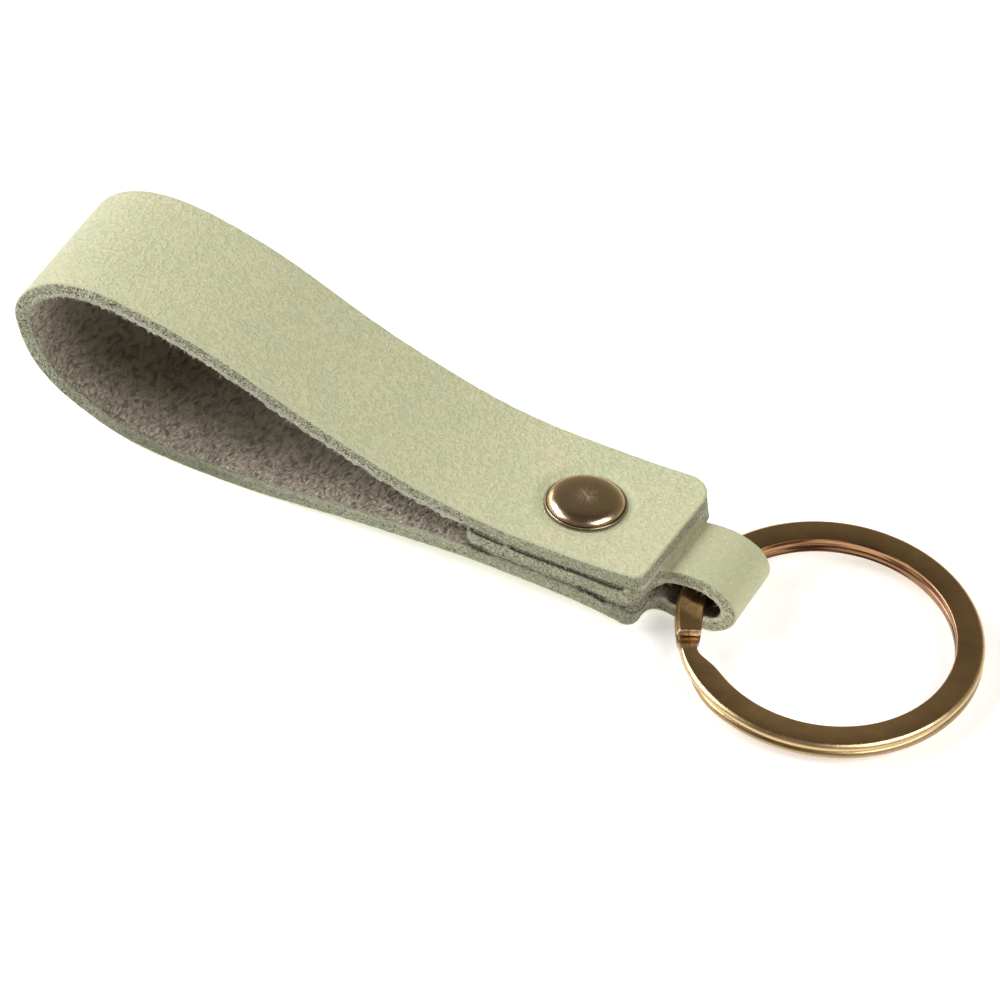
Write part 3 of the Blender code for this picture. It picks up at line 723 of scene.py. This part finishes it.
def makeNapMaterial(look):
    # Brushed suede backing: soft hairs lying across the strap in short clumps, with dark pits between
    material, add, shader = startMaterial("brushedSuedeBacking", {
        "Roughness": 0.95, "Specular IOR Level": 0.15, "Sheen Weight": 0.45, "Sheen Roughness": 0.45,
        "Sheen Tint": "#e6dfd2"})
    flat, napShade = add("UVMap", uv_map="flat"), layerParts(add, "wear")["X"]
    wobble = add("TexNoise", (flat, 0.6, 2.0))
    bent = add("VectorMath", (wobble.outputs["Color"], (1.5, 1.5, 0.0), flat), **timesPlus)
    brushed = add("VectorMath", (bent, (1 / look["napWide"], 1 / look["napLong"], 1.0)), **times)
    clump = add("TexNoise", (brushed, 0.42, 2.0, 0.55))
    hair = add("TexNoise", (brushed, 1.05, 3.0, 0.55, 0.4))
    broad = add("TexNoise", (flat, 0.22, 2.0))
    # The nap is painted lighter towards the near cut, where the light reaches it, with more of its pale
    # tips showing
    litShare = add("MapRange", (layerParts(add, "flat")["Y"], *look["brushedAcross"]), **eased)
    litTips, litValue = (
        add("MapRange", (litShare, 0.0, 1.0, low, high)) for low, high in ((0.15, 1.05), (0.84, 1.17)))
    tipLift = add("Math", (litTips, napShade), **times)
    tips = add("MapRange", (hair, 0.46, 0.70, 0.0, 0.75))
    pit = add("MapRange", (hair, 0.42, 0.27, 0.0, 0.85))
    tint = look["napDark"]
    for share, colour in (
            (add("MapRange", (clump, 0.32, 0.60), **eased), "nap"),
            (add("Math", (tips, tipLift), **times), "napLight"),
            (add("Math", (pit, tipLift), **times), "napPit")):
        tint = add("Mix", (share, tint, look[colour]), **rgba)
    clean = add("Math", (add("MapRange", (broad, 0.3, 0.7, 0.84, 1.10)), litValue), **times)
    # The painted shade along the strap
    value = add("Math", (clean, napShade), **times)
    depth = add("Math", (napShade, 1.1, -0.4), **timesPlus)
    clumps = add("Bump", (clump, depth, 0.35 * mm))
    setInputs(shader, {
        "Base Color": add("HueSaturation", (value, tint)),
        "Normal": add("Bump", (hair, depth, 0.15 * mm, clumps))})
    return material


strap = makeStrap([make(leatherLook) for make in (makeGrainMaterial, makeCutMaterial, makeNapMaterial)])
print("strap made,", len(strap.data.polygons), "faces, path", round(pathLength / mm, 2), "mm")

strapFibres = {
    "nearCount": 6200,
    "farCount": 2600,
    "freeLength": (0.08 * mm, 0.46 * mm),
    "pressedLength": (0.05 * mm, 0.22 * mm),
    "lengthPower": 2.2,  # most hairs are short
    "freeDown": (0.3, 1.0),  # how far a hair leans to the back of the strap, and out from its edge
    "pressedDown": (-0.2, 0.3),
    "freeOut": (0.0, 0.45),
    "pressedOut": (0.4, 1.0),
    "forwardSpread": 0.45,
    "curlSpread": 0.35,
    "rootRadius": 0.030 * mm,  # real fibres are finer, and drawn this thick so that they show
    "tipTaper": 0.6,
    "rings": 3,
    "endMargin": 0.3 * mm,
    "rootInset": 0.05 * mm,
    "rootDepth": (0.80, 0.985),  # shares of the thickness
    "tuftSpacing": 0.9 * mm,
    "tuftShift": 0.25 * mm,
    "tuftPull": 0.6,
    "tabShare": 0.15,  # the tab's eye is scraped nearly clean of them
    "seed": 17,
}


def makeFibres(look, materials):
    # Loose hairs of the backing along the cut, each from a root on the nap's rim:
    # root + length * (t * lean + t^2 * curl)
    chance = np.random.default_rng(look["seed"])
    count = look["nearCount"] + look["farCount"]
    side = np.where(np.arange(count) < look["nearCount"], -1.0, 1.0)
    start, stop, spacing = look["endMargin"], pathLength - look["endMargin"], look["tuftSpacing"]
    along = chance.uniform(start, stop, count)
    # Hairs stand in tufts: each is drawn towards the nearest of the tufts' middles
    tuft = np.round(along / spacing) * spacing + look["tuftShift"] * softNoise(along / spacing, 3, 19)
    along = np.clip(along + (tuft - along) * chance.uniform(0.0, look["tuftPull"], count), start, stop)
    before, after = shoulderAlongs["near"]
    kept = (along < before) | (along > after) | (chance.uniform(0, 1, count) < look["tabShare"])
    side, along, count = side[kept], along[kept], int(kept.sum())
    half = strapCut["width"] / 2 - np.where(side < 0, edgeInset(along, "near"), edgeInset(along, "far"))
    depth = strapCut["thickness"] * chance.uniform(*look["rootDepth"], count)
    root = strapSurface(along, side * (half - look["rootInset"]), depth)
    (x, _), (tangentX, tangentZ) = onPath(along, pathPoints), onPath(along, pathTangents)
    forwards = toPoints(tangentX, 0.0, tangentZ)
    inwards = toPoints(tangentZ, 0.0, -tangentX)
    outwards = toPoints(0.0, side, 0.0)
    pressed = (np.abs(x - stackX) < strapFold["tailReach"]) & ((along < armsEnd) | (along > topStart))
    low, high = (np.where(pressed, look["pressedLength"][i], look["freeLength"][i]) for i in (0, 1))
    length = (low + (high - low) * chance.uniform(0, 1, count) ** look["lengthPower"])[:, None]
    down, out = (
        np.where(pressed, *(chance.uniform(*look[state + way], count) for state in ("pressed", "free")))
        for way in ("Down", "Out"))
    lean = inwards * down[:, None] + outwards * out[:, None]
    lean += forwards * chance.normal(0, look["forwardSpread"], (count, 1))
    lean /= np.linalg.norm(lean, axis=1)[:, None]
    curl = chance.normal(0, look["curlSpread"], (count, 3))
    across = np.cross(lean, forwards + 0.01)  # moved a little, so that it never lies along the lean
    across /= np.linalg.norm(across, axis=1)[:, None]
    over = np.cross(lean, across)
    points = []
    for ring in range(look["rings"]):
        share = ring / look["rings"]
        middle = root + length * (share * lean + share**2 * curl)
        radius = look["rootRadius"] * (1 - look["tipTaper"] * share)
        for corner in range(3):
            angle = 2 * math.pi * corner / 3
            points.append(middle + radius * (math.cos(angle) * across + math.sin(angle) * over))
    points.append(root + length * (lean + curl))
    points = np.stack(points, axis=1)
    # One hair's corner numbers: quads between its rings, three triangles to the tip, one under the root
    first, last = np.arange(count)[:, None] * points.shape[1], (look["rings"] - 1) * 3
    sides = ((0, 1), (1, 2), (2, 0))
    pattern = [(low + a, low + b, low + 3 + b, low + 3 + a) for low in range(0, last, 3) for a, b in sides]
    pattern += [(last + a, last + b, points.shape[1] - 1) for a, b in sides] + [(2, 1, 0)]
    faces = [face for one in pattern for face in (first + np.array(one)).tolist()]
    mesh = bpy.data.meshes.new("strapFibres")
    mesh.from_pydata(points.reshape(-1, 3), [], faces)
    fibres = finishPiece("strapFibres", mesh, materials)
    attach(fibres, "strap_body")
    return fibres


def makeFibreMaterial(look):
    # Loose polyester backing hair: pale, dull, with a soft sheen, each hair a bit lighter or darker
    material, add, shader = startMaterial("loosePolyesterHair", {
        "Roughness": 0.75, "Specular IOR Level": 0.3, "Sheen Weight": 0.3})
    mottle = add("TexNoise", (objectMm(add), 1.4, 2.0))
    share = add("MapRange", (mottle, 0.35, 0.65))
    setInputs(shader, {"Base Color": add("Mix", (share, look["coreHigh"], look["napLight"]), **rgba)})
    return material


fibres = makeFibres(strapFibres, [makeFibreMaterial(leatherLook)])
print("fibres made,", len(fibres.data.polygons), "faces")


# Split ring

ringWire = {
    "outerRadius": 15.5 * mm,
    "width": 2.9 * mm,
    "thickness": 0.85 * mm,
    "turnGap": 0.1 * mm,
    "outerTopRound": (0.50 * mm, 0.50 * mm),  # how far each edge's round-over goes in and down
    "innerTopRound": (0.16 * mm, 0.13 * mm),
    "innerLowRound": (0.16 * mm, 0.13 * mm),
    "outerLowRound": (0.30 * mm, 0.24 * mm),
    "splitDegrees": 211.5,
    "stepDegrees": 8.5,
    "endGapDegrees": 1.0,
    "innerWaist": (221.0, 7.8, 0.93 * mm),  # its middle and spread in degrees, and its depth
    "outerWaist": (211.0, 13.0, 0.33 * mm),
    "turnSteps": 360,
    "stepSteps": 40,
    "edgeSteps": 8,
    "roundPower": 1.3,  # 1 is a quarter ellipse, 2 a straight chamfer
    "startTaper": 0.60 * mm,  # the lower turn's start is pinched narrower on its outside
    "startTaperDegrees": 28.0,
    "dish": 0.03,  # how much the outside of a turn stands over its inside, as a slope
    "endRound": 0.09 * mm,
    "endSteps": 4,
    "bendMark": (0.35, 0.95, 0.3, 0.8),  # middle, reach and fading as shares of the step, and strength
}


def makeRing(wire, materials):
    # One flat wire: a lower turn, a smooth step up, an upper turn over the first
    centre, axis = np.array(ringJoint["pos_m"]), np.array(ringJoint["axis"])
    roll, pitch = -math.asin(axis[1]), math.atan2(axis[0], axis[2])
    turn = np.array(Matrix.Rotation(pitch, 3, "Y") @ Matrix.Rotation(roll, 3, "X"))
    split, step, gap = (math.radians(wire[key]) for key in ("splitDegrees", "stepDegrees", "endGapDegrees"))
    climb = split + 2 * math.pi
    first, last = split + step + gap, split + 4 * math.pi - gap
    endRound, outerRadius, halfWidth, halfHeight = (
        wire["endRound"], wire["outerRadius"], wire["width"] / 2, wire["thickness"] / 2)
    nearEnd = endRound / outerRadius * (1 - np.cos(np.linspace(0.0, math.pi / 2, wire["endSteps"] + 1)))
    angles = np.unique(np.concatenate((
        first + nearEnd, last - nearEnd,
        np.linspace(first, climb, wire["turnSteps"]),
        np.linspace(climb, climb + step, wire["stepSteps"]),
        np.linspace(climb + step, last, wire["turnSteps"]))))
    # Each corner: the cosine and the sine to the power roundPower, times how far in and down it goes
    quarter = np.linspace(0.0, math.pi / 2, wire["edgeSteps"] + 1)
    section = []
    for index, (key, outward, upward) in enumerate((
            ("outerTopRound", 1, 1), ("innerTopRound", -1, 1),
            ("innerLowRound", -1, -1), ("outerLowRound", 1, -1))):
        turned = quarter + math.pi / 2 * index
        sideways, upwards = (np.abs(curve(turned)) ** wire["roundPower"] for curve in (np.cos, np.sin))
        section.append(toPoints(
            outward * (halfWidth - wire[key][0] * (1 - sideways)),
            upward * (halfHeight - wire[key][1] * (1 - upwards))))
    section = np.concatenate(section)
    wide, high = section.T
    height = (wire["thickness"] + wire["turnGap"]) * (smoothStep((angles - climb) / step) - 1 / 2)

    def waistAt(key):
        # e to the power -t^2 of the angle beyond the waist's middle, times its depth
        place, spread, deep = wire[key]
        beyond = (angles - math.radians(place) + math.pi) % (2 * math.pi) - math.pi
        return np.exp(-(beyond / math.radians(spread)) ** 2)[:, None] * deep

    pinch = 1 - smoothStep((angles - first) / math.radians(wire["startTaperDegrees"]))[:, None]
    side = wide / wire["width"]
    inset = waistAt("innerWaist") * (1 / 2 - side) - waistAt("outerWaist") * (1 / 2 + side)
    inset = inset - pinch * wire["startTaper"] * (1 / 2 + side)
    # The cut ends are rounded: the section shrinks towards them
    shrink = arcDrop(endRound - np.minimum(angles - first, last - angles) * outerRadius, endRound)
    slim, thin = 1 - shrink[:, None] / halfWidth, 1 - shrink[:, None] / halfHeight
    reach = outerRadius - halfWidth + wide * slim + inset
    shape = toPoints(
        reach * np.cos(angles)[:, None], reach * np.sin(angles)[:, None],
        height[:, None] + high * thin + wire["dish"] * wide)
    shape = shape @ turn.T + centre
    rows, columns = shape.shape[:2]
    faces = [list(face) for face in gridFaces(rows, columns, 0, closed=True)]
    faces += [list(range(columns)), list(range((rows - 1) * columns, rows * columns))]
    mesh = bpy.data.meshes.new("goldRing")
    mesh.from_pydata(shape.reshape(-1, 3), [], faces)
    # Flat places: mm along the wire and round its section.
    # Form: how far a spot is on the inner wall, and on the outer one.
    around = np.concatenate((section, section[:1]))
    roundMm = np.concatenate(([0.0], np.cumsum(np.linalg.norm(np.diff(around, axis=0), axis=1)))) / mm
    alongMm = angles * outerRadius / mm
    inner = smoothStep(2 - 2 * (around[:, 0] + halfWidth) / wire["innerTopRound"][0])
    outer = smoothStep(1.2 - (halfWidth - around[:, 0]) / wire["outerTopRound"][0])
    corner = gridFaces(rows, columns + 1, 0).reshape(-1)
    row, column = corner // (columns + 1), corner % (columns + 1)
    # The step counts as outer wall too: the bending tool dulled it, and it takes the walls' tan as painted
    # reflection
    middle, markReach, fading, strength = wire["bendMark"]
    bent = smoothStep((markReach - np.abs((angles - climb) / step - middle)) / fading) * strength
    walls = np.maximum(outer[column] * (1 - inner[column]), bent[row] * (1 - inner[column]))
    for name, places in (("flat", (alongMm[row], roundMm[column])), ("form", (inner[column], walls))):
        values = np.zeros((len(mesh.loops), 2), dtype=np.float32)
        values[:len(corner)] = toPoints(*places)
        mesh.uv_layers.new(name=name).data.foreach_set("uv", values.reshape(-1))
    # The sheared ends' own material: the last rows of the grid at each end, and the two end faces
    slots = np.ones(len(faces), dtype=np.int32)
    rowOfFace = np.repeat(np.arange(rows - 1), columns)
    slots[:len(rowOfFace)] = (rowOfFace < wire["endSteps"]) | (rowOfFace >= rows - 1 - wire["endSteps"])
    mesh.polygons.foreach_set("material_index", slots)
    ring = finishPiece("goldRing", mesh, materials)
    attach(ring, "ring_body")
    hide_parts("split_ring")
    return ring


platingLook = {
    "roseGold": "#e0b88e",
    "roseGoldWorn": "#cdae80",
    # The wall colours are painted reflection, darker than what the bright floor would give
    "wallCopper": "#bf906a",
    "wallDark": "#4c2c1b",
    "wallTan": "#dcc094",
    "sheared": "#ecd6bd",
    "shearedDark": "#b39274",
    "paleGold": "#e2c8ac",
    "paleGoldWorn": "#cdb18c",
    "scuffed": "#f0d3c8",
    # A painted shade for the cap's groove, and a painted highlight for its brim
    "grooveShade": "#5a4634",
    "brimHighlight": "#dcc7a6",
    "shank": "#c9ad84",
    "shankWorn": "#8f7857",
    "lowerTurnEnd": (157.0, 154.0),  # millimetres along the wire, like the next two
    "nearReflectionMiddle": 176.0,
    "nearReflectionFade": (26.0, 4.0),
    "scuffReach": 1.9,  # millimetres from the cap's middle
    "grooveIn": (0.922, 0.946),  # shares of the cap's radius, like the next two
    "grooveOut": (0.975, 0.958),
    "brimIn": (0.962, 0.978),
}


def makePlating(name, look, colour, roughness):
    # Tumble-polished plating: mirror clear, slightly wavy, with hair scratches and duller clouds
    material, add, shader = startMaterial(name, {"Metallic": 1.0})
    inMm = objectMm(add)
    stretched = add("VectorMath", (inMm, (9.0, 1.2, 5.0)), **times)
    cloud = add("TexNoise", (inMm, 0.35, 4.0, 0.6, 0.6))
    scratch = add("TexNoise", (stretched, 1.0, 2.0, 0.5, 1.5))
    waves = add("TexNoise", (inMm, 0.8, 1.0))
    dullness = add("MapRange", (cloud, 0.35, 0.7))
    hairline = add("MapRange", (scratch, 0.45, 0.80, 0.0, 0.08))
    blur = add("Math", (dullness, 0.10, roughness), **timesPlus)
    ripple = add("Bump", (waves, 0.5, 0.035 * mm))
    setInputs(shader, {
        "Base Color": add("Mix", (dullness, look[colour], look[colour + "Worn"]), **rgba),
        "Roughness": add("Math", (blur, hairline), operation="ADD"),
        "Normal": add("Bump", (scratch, 0.12, 0.006 * mm, ripple))})
    return material


def addWalls(material, look):
    # The wire's rolled walls keep drawing lines, and their tints are painted reflection: the inner one
    # coppery with dark runs, the outer one tan.
    # The flats show faint bands across the wire, from its winding.
    add, shader = openMaterial(material)
    plain, blur = (shader.inputs[name].links[0].from_socket for name in ("Base Color", "Roughness"))
    flat, along, form = add("UVMap", uv_map="flat"), layerParts(add, "flat")["X"], layerParts(add, "form")
    lines, run, band = (
        add("TexNoise", (add("VectorMath", (flat, stretch), **times), 1.0, *rest))
        for stretch, *rest in (
            ((0.16, 9.0, 0.0), 3.0, 0.6), ((0.11, 1.6, 0.0), 1.0), ((0.22, 0.12, 0.0), 3.0, 0.6, 0.8)))
    lineShade = add("MapRange", (lines, 0.3, 0.7, 0.72, 1.15))
    bandShade = add("MapRange", (band, 0.3, 0.7, 0.88, 1.18))
    dark = add("MapRange", (run, 0.42, 0.62), **eased)
    copper = add("Mix", (dark, look["wallCopper"], look["wallDark"]), **rgba)
    outer = add("Mix", (form["Y"], plain, look["wallTan"]), **rgba)
    inner = add("Mix", (form["X"], outer, copper), **rgba)
    # The lower turn's walls are painted darker as shade under the upper one, and the upper turn's flats get
    # a painted brighter reflection on their near side
    lower = add("MapRange", (along, *look["lowerTurnEnd"]), **eased)
    lowerTurnShade = add("Math", (lower, -0.38, 1.0), **timesPlus)
    nearReflectionAway = add("Math", (add("Math", (along, look["nearReflectionMiddle"]), **minus),), operation="ABSOLUTE")
    nearReflectionLift = add("MapRange", (nearReflectionAway, *look["nearReflectionFade"], 1.0, 1.28), **eased)
    wall = add("Math", (form["X"], form["Y"]), operation="MAXIMUM")
    flatShade = add("Math", (bandShade, nearReflectionLift), **times)
    wallShade = add("Math", (lineShade, lowerTurnShade), **times)
    value = add("Mix", {0: wall, 2: flatShade, 3: wallShade}, data_type="FLOAT")
    setInputs(shader, {
        "Base Color": add("HueSaturation", (value, inner)),
        "Roughness": add("Math", (wall, 0.14, blur), **timesPlus)})


def makeShearedEnd(look):
    # Sheared wire end: torn, dull metal under thin plating, with a few bright chips
    material, add, shader = startMaterial("shearedWireEnd", {"Metallic": 1.0, "Roughness": 0.42})
    torn = add("TexNoise", (objectMm(add), 2.6, 3.0))
    share = add("MapRange", (torn, 0.4, 0.62))
    setInputs(shader, {
        "Base Color": add("Mix", (share, look["shearedDark"], look["sheared"]), **rgba),
        "Normal": add("Bump", (torn, 0.8, 0.08 * mm))})
    return material


ringMaterial = makePlating("polishedRoseGoldPlating", platingLook, "roseGold", 0.13)
addWalls(ringMaterial, platingLook)
ring = makeRing(ringWire, [ringMaterial, makeShearedEnd(platingLook)])
print("ring made,", len(ring.data.polygons), "faces")


# Rivet caps

capShape = {
    "radius": 4.15 * mm,
    "height": 1.15 * mm,
    "wall": 0.22 * mm,
    "lipWidth": 1.1 * mm,
    "turnSteps": 128,
    "fineness": 8,  # fine points for each point of the dome
    "tiltDegrees": 2.8,  # the setter pressed the far side deeper
    "sharpDegrees": 50,
}
domeShares = (
    (0.930, 0.000), (0.975, 0.006), (0.996, 0.040), (0.995, 0.090), (0.980, 0.115), (0.962, 0.118),
    (0.952, 0.135), (0.946, 0.180), (0.938, 0.260), (0.922, 0.350), (0.897, 0.450), (0.865, 0.545),
    (0.820, 0.645), (0.775, 0.715), (0.720, 0.770), (0.640, 0.820), (0.520, 0.860), (0.360, 0.885),
    (0.180, 0.898), (0.000, 0.900),
)


def lathe(name, outline, steps, materials):
    # Turns a closed outline of (radius, height) round the caps' axis; a radius may be 0
    angles = np.linspace(0.0, 2 * math.pi, steps, endpoint=False)
    radius, height = outline[:, :1], outline[:, 1:]
    points = toPoints(capX + radius * np.cos(angles), capY + radius * np.sin(angles), height)
    last = (len(outline) - 1) * steps + np.arange(steps)
    seam = np.stack((last, np.arange(steps)), axis=-1)
    join = np.concatenate((seam, np.roll(seam, -1, axis=0)[:, ::-1]), axis=1)
    mesh = bpy.data.meshes.new(name)
    faces = np.concatenate((gridFaces(len(outline), steps, 0, closed=True), join))
    mesh.from_pydata(points.reshape(-1, 3), [], faces)
    return finishPiece(name, mesh, materials, mm / 10000)


def makeCap(name, node, rim, outward, materials):
    # Stamped dome: a smooth outside through the shares, an even wall, the edge rolled in to a lip
    radius, height, wall, fineness = (capShape[key] for key in ("radius", "height", "wall", "fineness"))
    shares = np.array(domeShares)
    dome = splineThrough(shares * (radius, height), fineness)[0]
    inside = splineThrough(shares * (radius - wall, height - 2 * wall) + (0.0, wall), fineness)[0]
    lip = np.array([(radius - capShape["lipWidth"], wall), (radius - capShape["lipWidth"], 0.0)])
    outline = np.concatenate((lip, dome, inside[::-1]))
    outline = toPoints(np.maximum(outline[:, 0], 0.0), rim + outward * outline[:, 1])
    cap = lathe(name, outline, capShape["turnSteps"], materials)
    middle = Matrix.Translation((capX, capY, rim))
    tilt = Matrix.Rotation(-math.radians(capShape["tiltDegrees"]) * (outward + 1) / 2, 4, "X")
    cap.data.transform(middle @ tilt @ middle.inverted())
    cap.data.set_sharp_from_angle(angle=math.radians(capShape["sharpDegrees"]))
    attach(cap, "strap_body")
    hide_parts(node)


def addCrownScuff(material, look):
    # The setter's anvil leaves a dull pinkish star on the crown: streaks that run out from its middle
    add, shader = openMaterial(material)
    tint, blur = (shader.inputs[name].links[0].from_socket for name in ("Base Color", "Roughness"))
    level, radius = capPlace(add)
    heading = add("VectorMath", (level,), operation="NORMALIZE")
    streak = add("TexNoise", (heading, 3.2, 3.0, 0.7))
    speck = add("TexNoise", (level, 5.0, 3.0))
    near = add("MapRange", (radius, look["scuffReach"], 0.0), **eased)
    mark = add("MapRange", (add("Math", (streak, speck), **times), 0.19, 0.36))
    star = add("Math", (add("Math", (near, mark), **times), 0.95), **times)
    # The groove between the dome and its brim is painted darker as shade, and the brim paler as a painted
    # highlight
    rim = capShape["radius"] / mm
    inwards, outwards, brim = (
        add("MapRange", (radius, rim * start, rim * full), **eased)
        for start, full in (look[key] for key in ("grooveIn", "grooveOut", "brimIn")))
    groove = add("Math", (inwards, outwards), **times)
    for share, colour in ((star, "scuffed"), (groove, "grooveShade"), (brim, "brimHighlight")):
        tint = add("Mix", (share, tint, look[colour]), **rgba)
    setInputs(shader, {"Base Color": tint, "Roughness": add("Math", (star, 0.5, blur), **timesPlus)})


capMaterial = makePlating("polishedPaleGoldPlating", platingLook, "paleGold", 0.16)
addCrownScuff(capMaterial, platingLook)
makeCap("frontCap", "front_cap", capLow[2], 1, [capMaterial])
makeCap("backCap", "back_cap", backCapHigh[2], -1, [capMaterial])
shankMaterial = makePlating("drawnShankBrass", platingLook, "shank", 0.3)
for name in ("front_eyelet", "rivet_post"):
    frame["nodes"][name].data.materials.clear()
    frame["nodes"][name].data.materials.append(shankMaterial)
print("rivet made")


# Floor and light

floorHalf = 4.0
floorMesh = bpy.data.meshes.new("paleFloor")
floorCorners = [(x * floorHalf, y * floorHalf, 0) for x, y in ((-1, -1), (1, -1), (1, 1), (-1, 1))]
floorMesh.from_pydata(floorCorners, [], [(0, 1, 2, 3)])
floor = addObject("paleFloor", floorMesh)
floor.location.z = -0.02 * mm  # just under the part, so that the two don't flicker
floorMesh.materials.append(startMaterial("opalAcrylicTable", {
    "Roughness": 0.7, "Base Color": "#f0f0f0", "Emission Color": "#ffffff", "Emission Strength": 0.45})[0])

studioLights = (
    # name, azimuth and elevation in degrees, distance, width, height, watts, colour
    ("leftBox", 283, 37, 0.7, 0.62, 0.33, 4.5, "#ffffff"),
    ("rightBox", 82, 45, 0.7, 0.50, 0.31, 3.0, "#fffdf8"),
    ("backStrip", 247, 15, 0.8, 0.34, 0.20, 0.8, "#fffaf2"),
)
for name, azimuth, elevation, distance, width, height, watts, colour in studioLights:
    light = bpy.data.lights.new(name, "AREA")
    light.shape, light.size, light.size_y, light.energy = "RECTANGLE", width, height, watts
    light.color = linearColour(colour)[:3]
    holder = addObject(name, light)
    outwards = wayTowards(azimuth, elevation)
    holder.location = outwards * distance
    holder.rotation_euler = outwards.to_track_quat("Z", "Y").to_euler()

# A dim brown room over a paler band at the horizon, which is what the polished metal mirrors
world = bpy.data.worlds.new("studioRoom")
bpy.context.scene.world = world
world.use_nodes = True
add = functools.partial(addNode, world.node_tree)
aim = add("TexCoord").outputs["Generated"]
height = add("SeparateXYZ", (aim,)).outputs["Z"]
towards = add("VectorMath", (aim, (0.43, -0.90, 0.0)), operation="DOT_PRODUCT")
nearSide = add("MapRange", (towards, -0.6, 0.3), **eased)
bandTop = add("MapRange", (nearSide, 0.0, 1.0, 0.70, 0.32))
horizon = add("Mix", (nearSide, "#a59c88", "#ddd8cc"), **rgba)
climb = add("MapRange", (height, 0.02, bandTop), **eased)
room = add("Mix", (climb, horizon, "#6c6759"), **rgba)
rise = add("MapRange", (height, 0.68, 0.95), **eased)
ceiling = add("Mix", (rise, room, "#4a443b"), **rgba)
setInputs(world.node_tree.nodes["Background"], {"Color": ceiling})
print("floor and lights set")
